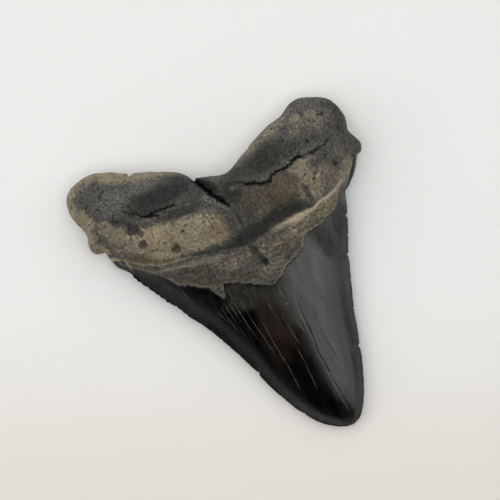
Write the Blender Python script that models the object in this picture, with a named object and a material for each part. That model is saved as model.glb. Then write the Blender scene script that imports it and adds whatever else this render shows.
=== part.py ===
"""Fossil megalodon tooth, lying on its outer face with the inner face up.

The tooth lies in the XY plane: its tip points along -Y, its root along +Y. Shapes are drawn
in millimetres and become metres when the mesh is made. The top and the underside are two
height surfaces that share the outline.
"""

import math

import bpy
import numpy as np
from mathutils import Vector, noise
from mathutils.geometry import delaunay_2d_cdt

MM = 0.001

# Distance between neighbouring points of each surface, in mm.
TOP_SPACING = 1.55
UNDER_SPACING = 2.4

# Heights of the outline above the ground, in mm.
TIP_EDGE_HEIGHT = 3.2
SHOULDER_EDGE_HEIGHT = 7.2
ROOT_EDGE_HEIGHT = 8.8
TIP_Y = -51.0
SHOULDER_Y = 24.0
# The outline climbs to the root's height over this distance past the ledge.
EDGE_CLIMB = 7.0
# Within this distance the crown's edge is a straight wedge.
SHARP_EDGE = 0.8
# Over this distance past the ledge the sharp edge turns into a rounded one.
EDGE_BLEND = 3.0

# The crown swells with its local width: height = bulge * width ** BULGE_POWER.
INNER_BULGE = 0.72
OUTER_BULGE = 0.46
BULGE_POWER = 0.67
TIP_ROUNDNESS = 1.95
ROOT_ROUNDNESS = 2.9
ROUNDNESS_START_Y = -10.0
ROUNDNESS_REACH = 30.0
BEVEL_WIDTH = 4.6
BEVEL_HOLLOW = 0.32

# The root's thickness along its crest, and how far its edges are rounded, in mm.
ROOT_HEIGHT = 22.6
ROOT_END_DROP = 6.2
ROOT_HALF_WIDTH = 40.0
ROOT_TOP_ROUNDING = 9.0
ROOT_UNDER_ROUNDING = 7.0
# The crest's line in the plan bends away at its ends, and the surface falls behind it.
CREST_Y = 21.0
CREST_BEND = 0.005
BACK_SLOPE = 0.09
BACK_BEND = 0.0015
# Distance over which the root rises from the ledge, and how much longer it is at the ends.
ROOT_RISE = 9.0
ROOT_END_RISE = 9.0

# The root stands on a worn flat under each lobe.
LOBE_CENTRES = ((-33.0, 39.0), (33.5, 36.5))
LOBE_BULGE = 0.011
FLAT_SINK = 0.45
LOBE_RISE_TO_LEDGE = 8.5
LOBE_RISE_REACH = 11.0
LOBE_BLEND = 3.0
ARCH_RISE = 0.011
ARCH_START_Y = 8.0

LAYER_STEP = 0.45
LAYER_RAMP = 0.6
OUTER_LAYER_STEP = 0.35

# The bourlette swells to a lip just below the ledge, and a valley runs along the ledge.
# Both fade out towards the shoulders.
LIP_HEIGHT = 0.5
LIP_FROM_LEDGE = 1.0
LIP_WIDTH = 1.1
VALLEY_DEPTH = 0.7
VALLEY_WIDTH = 1.3
MIDDLE_HALF_WIDTH = 20.0
MIDDLE_FADE = 16.0

# The outline, clockwise from the left lobe's outer end.
LEFT_LOBE = (
    (-44.0, 41.8), (-43.9, 43.6), (-43.5, 45.6), (-42.7, 47.2), (-41.4, 48.5), (-39.7, 49.4),
    (-37.6, 50.0), (-35.6, 50.35), (-33.6, 50.4), (-31.6, 50.0), (-29.6, 49.2), (-27.6, 48.5),
    (-25.6, 47.2), (-23.5, 46.1), (-22.8, 45.3), (-21.2, 45.2), (-19.2, 44.5), (-17.2, 43.8),
    (-15.2, 42.8), (-13.2, 42.0), (-11.4, 41.0), (-9.8, 40.1), (-8.4, 39.0), (-7.4, 37.9),
    (-6.8, 36.8),
)
# The crack opens on the outline here.
CRACK_MOUTH = (-6.1, 35.7)
RIGHT_LOBE = (
    (-5.2, 36.1), (-3.6, 35.6), (-2.0, 35.1), (-0.4, 34.6), (1.4, 33.9), (3.2, 33.7), (5.2, 34.1),
    (7.0, 34.9), (8.8, 35.9), (10.6, 36.8), (12.4, 37.5), (13.8, 38.5), (15.6, 39.2), (17.6, 40.1),
    (19.6, 40.8), (21.6, 41.5), (23.6, 41.8), (25.4, 42.2), (27.2, 43.2), (28.9, 44.2),
    (30.6, 44.75), (32.6, 44.75), (34.6, 44.2), (36.6, 43.3), (38.6, 42.4), (40.2, 41.2),
    (41.4, 39.6), (42.2, 37.7), (42.7, 35.8), (42.9, 33.8), (42.5, 31.8), (42.0, 30.1), (42.6, 28.4),
    (43.3, 26.8), (43.9, 25.0), (43.5, 23.3), (42.8, 22.5),
)
RIGHT_SHOULDER = (41.6, 22.1)
# The right cutting edge, from the shoulder down to the tip.
RIGHT_EDGE = (
    (40.9, 21.0), (39.6, 19.1), (38.2, 17.4), (36.7, 15.9), (35.2, 14.6), (34.0, 14.0), (33.4, 13.0),
    (32.9, 11.2), (32.3, 9.4), (31.6, 7.7), (31.0, 6.1), (30.3, 4.3), (29.5, 2.4), (28.7, 0.7),
    (27.9, -1.1), (27.1, -2.8), (26.5, -4.3), (25.9, -6.2), (25.2, -8.1), (24.5, -10.1),
    (23.8, -12.1), (23.1, -14.1), (22.4, -16.1), (21.7, -18.1), (21.1, -20.1), (20.5, -22.1),
    (20.0, -24.1), (19.4, -26.2), (18.8, -28.2), (18.1, -30.3), (17.7, -32.1), (17.1, -34.1),
    (16.4, -36.1), (15.7, -38.1), (14.9, -40.2), (14.0, -42.2), (13.1, -44.1), (12.0, -46.1),
    (10.8, -47.9), (9.6, -49.4), (8.1, -50.4),
)
TIP = (6.4, -51.0)
# The left cutting edge, from the tip up to the shoulder.
LEFT_EDGE = (
    (4.6, -50.8), (3.0, -50.2), (1.4, -49.3), (-0.2, -48.3), (-1.7, -47.0), (-3.1, -45.6),
    (-4.4, -43.9), (-5.6, -42.1), (-6.8, -40.2), (-7.9, -38.2), (-8.8, -36.3), (-9.7, -34.4),
    (-10.6, -32.4), (-11.5, -30.3), (-12.2, -28.3), (-12.9, -26.3), (-13.2, -24.5), (-14.0, -22.6),
    (-14.8, -20.6), (-15.6, -18.6), (-16.4, -16.6), (-17.3, -14.6), (-18.2, -12.6), (-19.1, -10.6),
    (-20.0, -8.7), (-21.0, -6.8), (-22.1, -4.8), (-23.2, -3.0), (-24.5, -1.2), (-25.6, 0.8),
    (-26.5, 2.9), (-27.8, 4.7), (-29.1, 6.3), (-29.8, 8.0), (-30.9, 9.8), (-31.9, 11.7),
    (-32.9, 13.4), (-34.0, 15.2), (-34.8, 17.0), (-35.3, 18.8), (-36.5, 20.2), (-37.7, 21.4),
    (-38.5, 23.1), (-38.9, 25.2),
)
LEFT_SHOULDER = (-39.3, 27.4)
LEFT_WAIST = (
    (-41.0, 27.7), (-42.3, 28.3), (-43.0, 30.0), (-42.8, 31.8), (-42.2, 33.6), (-42.3, 35.8),
    (-43.0, 37.8), (-43.7, 39.8),
)

# The ledge where the root drops to the bourlette, continued past both shoulders.
LEDGE = (
    (-47.0, 26.4), (-39.3, 27.4), (-37.4, 24.8), (-35.2, 22.9), (-33.0, 21.3), (-30.6, 19.6),
    (-28.0, 18.3), (-25.4, 17.1), (-22.6, 16.4), (-19.6, 16.0), (-16.4, 15.4), (-13.2, 14.4),
    (-10.0, 13.6), (-7.0, 12.9), (-4.0, 12.0), (-1.0, 11.5), (2.0, 11.5), (5.0, 12.1), (8.0, 12.8),
    (11.0, 13.2), (14.0, 13.4), (17.0, 13.6), (20.0, 13.5), (22.4, 13.4), (25.0, 14.4),
    (28.0, 14.9), (30.6, 15.6), (33.2, 17.1), (35.8, 18.4), (38.2, 19.9), (40.2, 21.4), (41.6, 22.1),
    (47.0, 20.9),
)
# Where the tan layer ends on the black enamel.
ENAMEL_LINE = (
    (-47.0, 26.4), (-39.3, 27.4), (-38.3, 25.6), (-36.6, 24.0), (-35.4, 22.9), (-35.0, 21.4),
    (-34.4, 20.3), (-32.4, 19.0), (-30.4, 17.3), (-28.6, 15.6), (-26.8, 13.9), (-25.2, 12.1),
    (-24.1, 10.5), (-22.9, 9.1), (-20.8, 8.2), (-19.0, 7.1), (-17.4, 5.8), (-15.4, 4.8),
    (-14.6, 3.0), (-13.6, 1.4), (-12.4, 0.2), (-11.9, 2.1), (-11.0, 4.0), (-9.0, 3.5),
    (-6.8, 2.5), (-4.6, 1.2), (-2.4, 0.0), (-0.2, -1.3), (2.4, -2.4), (4.0, -1.6), (6.0, -0.7),
    (7.8, 0.9), (10.0, 1.7), (12.4, 2.7), (14.6, 3.7), (15.8, 5.3), (17.0, 7.0), (19.4, 7.7),
    (22.8, 8.0), (24.8, 9.1), (27.4, 9.9), (29.6, 11.3), (30.6, 13.2), (32.2, 14.8), (34.6, 16.5),
    (37.0, 18.2), (39.4, 20.3), (41.6, 22.1), (47.0, 20.9),
)
# The enamel reaches higher on the underside.
OUTER_ENAMEL_CENTRE_Y = 17.5
OUTER_ENAMEL_BEND = 0.0042

CRACK = (CRACK_MOUTH, (-5.1, 33.8), (-4.2, 31.8), (-3.2, 29.7), (-2.0, 27.5), (-0.8, 25.8), (0.3, 24.0))
LEFT_FISSURE = (
    (-34.4, 35.6), (-32.4, 34.0), (-30.2, 33.2), (-27.9, 33.9), (-25.6, 33.2), (-24.0, 31.9),
    (-22.0, 31.2), (-19.6, 31.4), (-17.0, 31.4), (-14.4, 31.0), (-11.6, 30.5), (-8.8, 30.1),
    (-6.2, 29.8),
)
RIGHT_FISSURE = (
    (1.0, 30.0), (3.6, 29.9), (6.0, 29.0), (8.0, 27.6), (10.2, 26.8), (12.2, 25.9), (14.2, 25.9),
    (15.6, 27.1), (18.0, 27.3), (20.6, 27.5), (23.0, 28.5), (25.4, 28.3), (28.0, 28.3),
    (31.0, 28.4), (33.8, 29.2), (36.4, 30.3),
)
GOUGE = ((1.4, 10.2), (2.0, 8.0), (2.8, 5.2))
# Each groove as its line, its half width, its depth and the length of its faded ends.
GROOVES = (
    (CRACK, 0.65, 3.4, 2.0),
    (LEFT_FISSURE, 0.5, 0.9, 3.0),
    (RIGHT_FISSURE, 0.5, 1.1, 3.0),
    (GOUGE, 1.0, 0.7, 1.5),
)
CRACK_SHELF_DROP = 1.5
CRACK_SHELF_WIDTH = 5.0
CRACK_SHELF_FADE = 4.0
# A groove keeps this share of its depth at its very end.
GROOVE_END_SHARE = 0.15
GROOVE_FADE_AT_OUTLINE = 1.2

# Pits as x, y, radius and depth.
PITS = (
    (36.4, 37.3, 0.9, 0.8), (29.1, 31.7, 0.8, 0.8), (-19.3, 19.2, 1.6, 0.5),
    (-28.2, 29.4, 2.0, 0.6), (-27.8, 24.7, 1.3, 0.5), (-42.6, 43.5, 0.7, 0.5),
    (26.3, 20.9, 0.8, 0.5), (34.0, 22.4, 1.0, 0.5), (-15.2, 23.1, 0.7, 0.4),
)
# A pit fades out at this many times its radius.
PIT_REACH = 1.2
PIT_RING_POINTS = 6
# Broad hollows and swells of the root as x, y, reach along x, reach along y and height.
SWELLS = (
    (-17.0, 35.8, 10.0, 3.4, -1.3), (16.0, 32.0, 8.0, 3.6, -1.3), (-35.0, 43.0, 7.0, 5.0, 0.8),
    (34.0, 38.0, 6.0, 5.0, 0.8), (-20.0, 24.0, 10.0, 3.5, 0.5), (-38.0, 31.5, 4.0, 3.0, -0.9),
    (38.0, 28.5, 5.0, 2.6, -0.8), (0.0, 31.0, 5.0, 2.5, -0.8),
)

LUMP_SIZE = 5.5
LUMP_HEIGHT = 0.42
SMALL_LUMP_SIZE = 2.4
SMALL_LUMP_HEIGHT = 0.16
OUTER_LUMP_OFFSET = 60.0
LUMP_FADE_AT_ENAMEL = 4.0
LUMP_FADE_AT_OUTLINE = 3.0

OUTLINE = (
    LEFT_LOBE + (CRACK_MOUTH,) + RIGHT_LOBE + (RIGHT_SHOULDER,) + RIGHT_EDGE + (TIP,) + LEFT_EDGE
    + (LEFT_SHOULDER,) + LEFT_WAIST
)
RIGHT_CUTTING_EDGE = (RIGHT_SHOULDER,) + RIGHT_EDGE + (TIP,)
LEFT_CUTTING_EDGE = (TIP,) + LEFT_EDGE + (LEFT_SHOULDER,)

# Distances of the extra rows of points inside the outline, in mm.
EDGE_ROWS = (0.35, 1.3, 2.9)
# A row's point stays only where it is at least this share of its distance from the outline.
ROW_CLEARANCE = 0.8
ROW_TO_LINE = 0.5
# Least distances of the lattice's points, as shares of the spacing.
LATTICE_TO_ROWS = 0.6
LATTICE_TO_LINE = 0.55
LATTICE_TO_DOT = 0.5
LEDGE_SIDE = 1.0
ENAMEL_SIDE = -0.35
CDT_TOLERANCE = 1e-5

STONE_COLOUR = (0.16, 0.15, 0.13, 1.0)
STONE_ROUGHNESS = 0.6
SHARP_ANGLE = math.radians(40.0)


def clear_scene():
    for obj in list(bpy.data.objects):
        bpy.data.objects.remove(obj)


def soft_step(value):
    """0 below 0, 1 above 1, and a smooth climb between."""
    value = np.clip(value, 0.0, 1.0)
    return value * value * (3.0 - 2.0 * value)


def soft_min(first, second, blend):
    """The smaller of the two, with the crease between them rounded over the blend."""
    overlap = np.maximum(blend - np.abs(first - second), 0.0) / blend
    return np.minimum(first, second) - overlap * overlap * blend / 4.0


def line_distance(points, line, closed=False):
    """Distance from each point to the nearest place on the line."""
    line = np.array(line + line[:1] if closed else line)
    best = np.full(len(points), np.inf)
    for start, end in zip(line[:-1], line[1:]):
        along = end - start
        share = np.clip((points - start) @ along / (along @ along), 0.0, 1.0)
        gap = points - start - share[:, None] * along
        best = np.minimum(best, np.hypot(gap[:, 0], gap[:, 1]))
    return best


def above_line(points, line):
    """Distance to a line that runs from left to right, positive on its root side."""
    line_x, line_y = np.array(line).T
    side = np.where(points[:, 1] >= np.interp(points[:, 0], line_x, line_y), 1.0, -1.0)
    return side * line_distance(points, line)


def inside_outline(points):
    """True for the points that the outline goes round, by counting crossings to the right."""
    ring = np.array(OUTLINE)
    inside = np.zeros(len(points), bool)
    for (x0, y0), (x1, y1) in zip(ring, np.roll(ring, -1, axis=0)):
        crosses = (y0 > points[:, 1]) != (y1 > points[:, 1])
        if y0 != y1:
            x_there = x0 + (points[:, 1] - y0) * (x1 - x0) / (y1 - y0)
            inside ^= crosses & (points[:, 0] < x_there)
    return inside


def lumps(points, offset):
    """Low natural unevenness of the root's surface, in mm."""
    high = np.empty(len(points))
    for row, (x, y) in enumerate(points):
        large = noise.noise(Vector((x, y, offset)) / LUMP_SIZE)
        small = noise.noise(Vector((x, y, offset)) / SMALL_LUMP_SIZE)
        high[row] = LUMP_HEIGHT * large + SMALL_LUMP_HEIGHT * small
    return high


def crown_width(points):
    """The crown's local width, and how far across it each point is, from -1 to 1."""
    left = line_distance(points, LEFT_CUTTING_EDGE)
    right = line_distance(points, RIGHT_CUTTING_EDGE)
    width = np.maximum(left + right, 0.1)
    return width, (left - right) / width


def cutting_edge_height(points):
    share = np.clip((points[:, 1] - TIP_Y) / (SHOULDER_Y - TIP_Y), 0.0, 1.0)
    return TIP_EDGE_HEIGHT + (SHOULDER_EDGE_HEIGHT - TIP_EDGE_HEIGHT) * share


def edge_height(points):
    """Height of the outline: low along the cutting edges, higher round the root."""
    on_root = soft_step(above_line(points, LEDGE) / EDGE_CLIMB)
    low = cutting_edge_height(points)
    return low + (ROOT_EDGE_HEIGHT - low) * on_root


def rounded(distance, rounding):
    """0 at the outline and 1 from the rounding inwards, along a quarter circle."""
    left_over = 1.0 - np.clip(distance / rounding, 0.0, 1.0)
    return np.sqrt(1.0 - left_over * left_over)


def edge_profile(points, distance, rounding):
    """How far a surface has risen from the outline: sharp at the crown, rounded at the root."""
    on_root = soft_step(above_line(points, LEDGE) / EDGE_BLEND)
    sharp = np.clip(distance / SHARP_EDGE, 0.0, 1.0)
    return sharp + (rounded(distance, rounding) - sharp) * on_root


def grooves(points):
    """Depth of the cracks, fissures and pits at each point."""
    depth = np.zeros(len(points))
    for line, half_width, deepest, fade in GROOVES:
        share = np.clip(1.0 - line_distance(points, line) / half_width, 0.0, 1.0)
        ends = [line[-1]] if line is CRACK else [line[0], line[-1]]
        to_end = np.min([np.hypot(*(points - np.array(end)).T) for end in ends], axis=0)
        reach = np.clip(GROOVE_END_SHARE + to_end / fade, 0.0, 1.0)
        depth = np.maximum(depth, deepest * share * reach)
    for x, y, radius, deepest in PITS:
        away = np.hypot(points[:, 0] - x, points[:, 1] - y)
        depth = np.maximum(depth, deepest * soft_step(PIT_REACH - away / radius))
    return depth


def crack_shelf(points):
    """The surface right of the crack lies lower than on its left, and rises again further off."""
    crack_y, crack_x = np.array(CRACK[::-1]).T[::-1]
    right_of_crack = points[:, 0] > np.interp(points[:, 1], crack_y, crack_x)
    near = 1.0 - soft_step(line_distance(points, CRACK) / CRACK_SHELF_WIDTH)
    upper = soft_step((points[:, 1] - CRACK[-1][1]) / CRACK_SHELF_FADE)
    return CRACK_SHELF_DROP * near * upper * right_of_crack


def crown_top(points, distance):
    """The crown's inner face, with a slightly hollow band along both cutting edges."""
    width, across = crown_width(points)
    near_root = soft_step((points[:, 1] - ROUNDNESS_START_Y) / ROUNDNESS_REACH)
    roundness = TIP_ROUNDNESS + (ROOT_ROUNDNESS - TIP_ROUNDNESS) * near_root
    swell = INNER_BULGE * width**BULGE_POWER * (1.0 - np.abs(across) ** roundness)
    band = np.clip(distance / BEVEL_WIDTH, 0.0, 1.0)
    hollow = BEVEL_HOLLOW * 4.0 * band * (1.0 - band)
    return cutting_edge_height(points) + np.maximum(swell - hollow, 0.0)


def root_top(points, from_ledge, ledge_height):
    """The root's inner face: a steep rise from the ledge to a broad crest, then the lobes."""
    x, y = points.T
    crest_y = CREST_Y + CREST_BEND * x * x
    crest = ROOT_HEIGHT - ROOT_END_DROP * (x / ROOT_HALF_WIDTH) ** 2
    past = np.maximum(y - crest_y, 0.0)
    high = crest - BACK_SLOPE * past - BACK_BEND * past * past
    for centre_x, centre_y, reach_x, reach_y, height in SWELLS:
        away = ((x - centre_x) / reach_x) ** 2 + ((y - centre_y) / reach_y) ** 2
        high = high + height * np.exp(-away)
    reach = ROOT_RISE + ROOT_END_RISE * (x / ROOT_HALF_WIDTH) ** 2
    rise = 1.0 - (1.0 - np.clip(from_ledge / reach, 0.0, 1.0)) ** 2.0
    return ledge_height + (high - ledge_height) * rise


def top_height(points):
    distance = line_distance(points, OUTLINE, closed=True)
    from_ledge = above_line(points, LEDGE)
    from_enamel = above_line(points, ENAMEL_LINE)
    middle = 1.0 - soft_step((np.abs(points[:, 0]) - MIDDLE_HALF_WIDTH) / MIDDLE_FADE)
    layer = LAYER_STEP * soft_step(from_enamel / LAYER_RAMP + 0.5)
    lip = LIP_HEIGHT * np.exp(-(((from_ledge + LIP_FROM_LEDGE) / LIP_WIDTH) ** 2)) * middle
    valley = VALLEY_DEPTH * np.exp(-((from_ledge / VALLEY_WIDTH) ** 2)) * middle
    low = crown_top(points, distance) + layer + lip - valley
    body = np.where(from_ledge > 0.0, root_top(points, from_ledge, low), low)
    uneven = soft_step(from_enamel / LUMP_FADE_AT_ENAMEL) * soft_step(distance / LUMP_FADE_AT_OUTLINE)
    body = body + lumps(points, 0.0) * uneven
    body = body - crack_shelf(points)
    edge = edge_height(points)
    high = edge + (body - edge) * edge_profile(points, distance, ROOT_TOP_ROUNDING)
    carve = grooves(points) * np.clip(distance / GROOVE_FADE_AT_OUTLINE, 0.0, 1.0)
    return np.where(distance > CDT_TOLERANCE, high - carve, edge)


def under_height(points):
    distance = line_distance(points, OUTLINE, closed=True)
    width, across = crown_width(points)
    swell = OUTER_BULGE * width**BULGE_POWER * (1.0 - across * across)
    arch = ARCH_RISE * np.maximum(points[:, 1] - ARCH_START_Y, 0.0) ** 2
    body = cutting_edge_height(points) - swell + arch
    near_ledge = 1.0 - soft_step(above_line(points, LEDGE) / LOBE_RISE_REACH)
    for centre in LOBE_CENTRES:
        away = np.hypot(*(points - np.array(centre)).T)
        lobe = LOBE_BULGE * away * away - FLAT_SINK + LOBE_RISE_TO_LEDGE * near_ledge
        body = soft_min(body, lobe, LOBE_BLEND)
    enamel_y = OUTER_ENAMEL_CENTRE_Y + OUTER_ENAMEL_BEND * points[:, 0] ** 2
    on_root = soft_step((points[:, 1] - enamel_y) / LAYER_RAMP)
    body = body + (OUTER_LAYER_STEP + lumps(points, OUTER_LUMP_OFFSET)) * on_root
    edge = edge_height(points)
    profile = edge_profile(points, distance, ROOT_UNDER_ROUNDING)
    low = np.maximum(edge + (body - edge) * profile, 0.0)
    return np.where(distance > CDT_TOLERANCE, low, edge)


def beside(line, offset):
    """The line moved sideways; its first and last points are left out."""
    line = np.array(line)
    along = line[2:] - line[:-2]
    across = np.stack([-along[:, 1], along[:, 0]], axis=1)
    across /= np.linalg.norm(across, axis=1)[:, None]
    return [tuple(point) for point in line[1:-1] + offset * across]


def edge_rows():
    """Rows of points that follow the outline a little way inside it."""
    ring = np.array(OUTLINE)
    along = np.roll(ring, -1, axis=0) - np.roll(ring, 1, axis=0)
    inward = np.stack([along[:, 1], -along[:, 0]], axis=1)
    inward /= np.linalg.norm(inward, axis=1)[:, None]
    rows = []
    for step in EDGE_ROWS:
        row = ring + step * inward
        clear = line_distance(row, OUTLINE, closed=True) > ROW_CLEARANCE * step
        rows.append(row[clear & inside_outline(row)])
    return np.concatenate(rows)


def lattice(spacing):
    """A grid of equilateral triangles over the outline's box."""
    low, high = np.min(OUTLINE, axis=0), np.max(OUTLINE, axis=0)
    places = []
    for number, y in enumerate(np.arange(low[1], high[1], spacing * math.sqrt(0.75))):
        shift = 0.5 * spacing * (number % 2)
        places += [(x + shift, y) for x in np.arange(low[0], high[0], spacing)]
    return np.array(places)


def sheet(spacing, lines, dots):
    """Triangles that fill the outline and follow the lines: points, faces, outline numbers."""
    count = len(OUTLINE)
    rows = edge_rows()
    for line in lines:
        rows = rows[line_distance(rows, tuple(line)) > ROW_TO_LINE]
    inner = lattice(spacing)
    inner = inner[inside_outline(inner)]
    inside_rows = EDGE_ROWS[-1] + LATTICE_TO_ROWS * spacing
    inner = inner[line_distance(inner, OUTLINE, closed=True) > inside_rows]
    for line in lines:
        inner = inner[line_distance(inner, tuple(line)) > LATTICE_TO_LINE * spacing]
    for x, y in dots:
        inner = inner[np.hypot(inner[:, 0] - x, inner[:, 1] - y) > LATTICE_TO_DOT * spacing]
    points = list(OUTLINE) + [tuple(row) for row in rows] + [tuple(row) for row in inner]
    points += list(dots)
    edges = [(number, (number + 1) % count) for number in range(count)]
    for line in lines:
        edges += [(len(points) + n, len(points) + n + 1) for n in range(len(line) - 1)]
        points += list(line)
    filled = delaunay_2d_cdt([Vector(p) for p in points], edges, [], 1, CDT_TOLERANCE)
    places, _, faces, sources = filled[:4]
    on_outline = [min(source, default=count) for source in sources]
    return np.array([tuple(place) for place in places]), faces, on_outline


def pit_points():
    """The centre of each pit and a ring round it."""
    dots = []
    for x, y, radius, _ in PITS:
        dots.append((x, y))
        for turn in range(PIT_RING_POINTS):
            angle = 2.0 * math.pi * turn / PIT_RING_POINTS
            dots.append((x + radius * math.cos(angle), y + radius * math.sin(angle)))
    return dots


def surface_lines():
    """The lines that the top's triangles follow."""
    lines = [groove[0] for groove in GROOVES]
    for line, half_width, _, _ in GROOVES:
        lines += [beside(line, side * half_width) for side in (-1.0, 1.0)]
    ledge = LEDGE[3:-3]
    enamel = ENAMEL_LINE[3:-3]
    lines += [ledge, beside(ledge, LEDGE_SIDE), beside(ledge, -LEDGE_SIDE)]
    return lines + [enamel, beside(enamel, ENAMEL_SIDE)]


def build_mesh():
    """Joins the top and the underside along the outline."""
    top_points, top_faces, top_outline = sheet(TOP_SPACING, surface_lines(), pit_points())
    under_points, under_faces, under_outline = sheet(UNDER_SPACING, [], [])
    count = len(OUTLINE)
    top = np.column_stack([top_points, top_height(top_points)])
    under = np.column_stack([under_points, under_height(under_points)])
    vertices = [tuple(vertex) for vertex in top]
    shared = {number: row for row, number in enumerate(top_outline) if number < count}
    under_rows = []
    for number, vertex in zip(under_outline, under):
        if number < count:
            under_rows.append(shared[number])
        else:
            under_rows.append(len(vertices))
            vertices.append(tuple(vertex))
    faces = [tuple(face) for face in top_faces]
    faces += [tuple(under_rows[row] for row in reversed(face)) for face in under_faces]
    return [(x * MM, y * MM, z * MM) for x, y, z in vertices], faces


def stone():
    material = bpy.data.materials.new("fossil_tooth")
    material.use_nodes = True
    shader = material.node_tree.nodes["Principled BSDF"]
    shader.inputs["Base Color"].default_value = STONE_COLOUR
    shader.inputs["Roughness"].default_value = STONE_ROUGHNESS
    return material


def build_tooth():
    vertices, faces = build_mesh()
    mesh = bpy.data.meshes.new("tooth")
    mesh.from_pydata(vertices, [], faces)
    mesh.materials.append(stone())
    mesh.shade_smooth()
    mesh.set_sharp_from_angle(angle=SHARP_ANGLE)
    tooth = bpy.data.objects.new("tooth", mesh)
    bpy.context.scene.collection.objects.link(tooth)


clear_scene()
build_tooth()
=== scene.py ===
"""Fossil megalodon tooth, photographed from straight above on a pale table.

The tooth is one mesh: the plan is filled with triangles that follow the outline, the cracks,
the ledge and the ragged edge of the enamel, and two height surfaces give its top and its
underside. Geometry nodes cut the serrations and the fine relief. Shapes are drawn in
millimetres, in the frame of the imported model: tip along -Y, root along +Y, inner face up.
"""

import math
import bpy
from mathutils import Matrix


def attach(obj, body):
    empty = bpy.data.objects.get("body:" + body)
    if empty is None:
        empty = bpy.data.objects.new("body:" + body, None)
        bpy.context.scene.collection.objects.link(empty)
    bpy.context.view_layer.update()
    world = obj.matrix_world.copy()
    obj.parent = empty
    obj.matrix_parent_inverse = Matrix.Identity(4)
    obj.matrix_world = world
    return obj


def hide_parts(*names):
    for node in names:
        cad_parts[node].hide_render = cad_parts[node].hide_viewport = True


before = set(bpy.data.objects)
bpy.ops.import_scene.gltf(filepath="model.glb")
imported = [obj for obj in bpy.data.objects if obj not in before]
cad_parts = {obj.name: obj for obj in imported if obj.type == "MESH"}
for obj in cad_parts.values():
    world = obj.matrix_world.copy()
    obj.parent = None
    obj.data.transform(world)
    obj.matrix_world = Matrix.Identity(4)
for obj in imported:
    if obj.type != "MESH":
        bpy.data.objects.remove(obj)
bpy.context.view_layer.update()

from types import SimpleNamespace

import bpy
import numpy as np
from bpy.props import FloatProperty, FloatVectorProperty, IntProperty, PointerProperty
from mathutils import Vector, noise
from mathutils.geometry import delaunay_2d_cdt
from mathutils.kdtree import KDTree

bl_info = {
    "name": "Fossil megalodon tooth",
    "version": (1, 0, 0),
    "blender": (4, 5, 0),
    "location": "3D View > Sidebar > Tooth",
    "description": "Builds a fossil shark tooth with its serrations, cracks and stone root",
    "category": "Add Mesh",
}

MM = 0.001

# Heights of the outline above the ground, in mm.
TIP_EDGE_HEIGHT = 3.2
SHOULDER_EDGE_HEIGHT = 7.2
ROOT_EDGE_HEIGHT = 8.8
TIP_Y = -51.0
SHOULDER_Y = 24.0
# The outline climbs to the root's height over this distance past the ledge.
EDGE_CLIMB = 7.0
# Within this distance the crown's edge is a straight wedge.
SHARP_EDGE = 0.8
# Over this distance past the ledge the sharp edge turns into a rounded one.
EDGE_BLEND = 3.0

# The crown swells with its local width: height = bulge * width ** BULGE_POWER.
INNER_BULGE = 0.72
OUTER_BULGE = 0.46
BULGE_POWER = 0.67
TIP_ROUNDNESS = 1.95
ROOT_ROUNDNESS = 2.9
# The crown's section turns from a low dome to a flatter one over this stretch.
ROUNDNESS_START_Y = -10.0
ROUNDNESS_REACH = 30.0
BEVEL_WIDTH = 5.4
BEVEL_TIP_WIDTH = 3.0
BEVEL_HOLLOW = 0.34
BEVEL_TIP_HOLLOW = 0.18
# How far from the tip the bevel has its full width and its full hollow.
BEVEL_WIDTH_REACH = 50.0
BEVEL_HOLLOW_REACH = 40.0
# Makes band * (1 - band) ** 2 reach 1 at its highest.
HOLLOW_PEAK = 6.75

# The root's thickness along its crest, and how far its edges are rounded, in mm.
ROOT_HEIGHT = 22.6
ROOT_END_DROP = 6.2
ROOT_HALF_WIDTH = 40.0
ROOT_TOP_ROUNDING = 9.0
ROOT_UNDER_ROUNDING = 7.0
# The crest's line in the plan bends away at its ends, and the surface falls behind it.
CREST_Y = 21.0
CREST_BEND = 0.005
BACK_SLOPE = 0.09
BACK_BEND = 0.0015
# Distance over which the root rises from the ledge, and how much longer it is at the ends.
ROOT_RISE = 9.0
ROOT_END_RISE = 9.0

# The root stands on a worn flat under each lobe.
LOBE_CENTRES = ((-33.0, 39.0), (33.5, 36.5))
LOBE_BULGE = 0.011
FLAT_SINK = 0.45
LOBE_RISE_TO_LEDGE = 8.5
LOBE_RISE_REACH = 11.0
LOBE_BLEND = 3.0
ARCH_RISE = 0.011
ARCH_START_Y = 8.0

# The tan layer stands this much above the enamel, and the step is this wide.
LAYER_STEP = 0.45
LAYER_RAMP = 0.5
OUTER_LAYER_STEP = 0.35

# The bourlette swells to a lip just below the ledge, and a valley runs along the ledge.
# Both fade out towards the shoulders.
LIP_HEIGHT = 0.5
LIP_FROM_LEDGE = 1.0
LIP_WIDTH = 1.1
VALLEY_DEPTH = 0.7
VALLEY_WIDTH = 1.3
MIDDLE_HALF_WIDTH = 20.0
MIDDLE_FADE = 16.0

# The outline, clockwise from the left lobe's outer end.
LEFT_LOBE = (
    (-44.0, 41.8), (-43.9, 43.6), (-43.5, 45.6), (-42.7, 47.2), (-41.4, 48.5), (-39.7, 49.4),
    (-37.6, 50.0), (-35.6, 50.35), (-33.6, 50.4), (-31.6, 50.0), (-29.6, 49.2), (-27.6, 48.5),
    (-25.6, 47.2), (-23.5, 46.1), (-22.8, 45.3), (-21.2, 45.2), (-19.2, 44.5), (-17.2, 43.8),
    (-15.2, 42.8), (-13.2, 42.0), (-11.4, 41.0), (-9.8, 40.1), (-8.4, 39.0), (-7.4, 37.9),
    (-6.8, 36.8),
)
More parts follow.
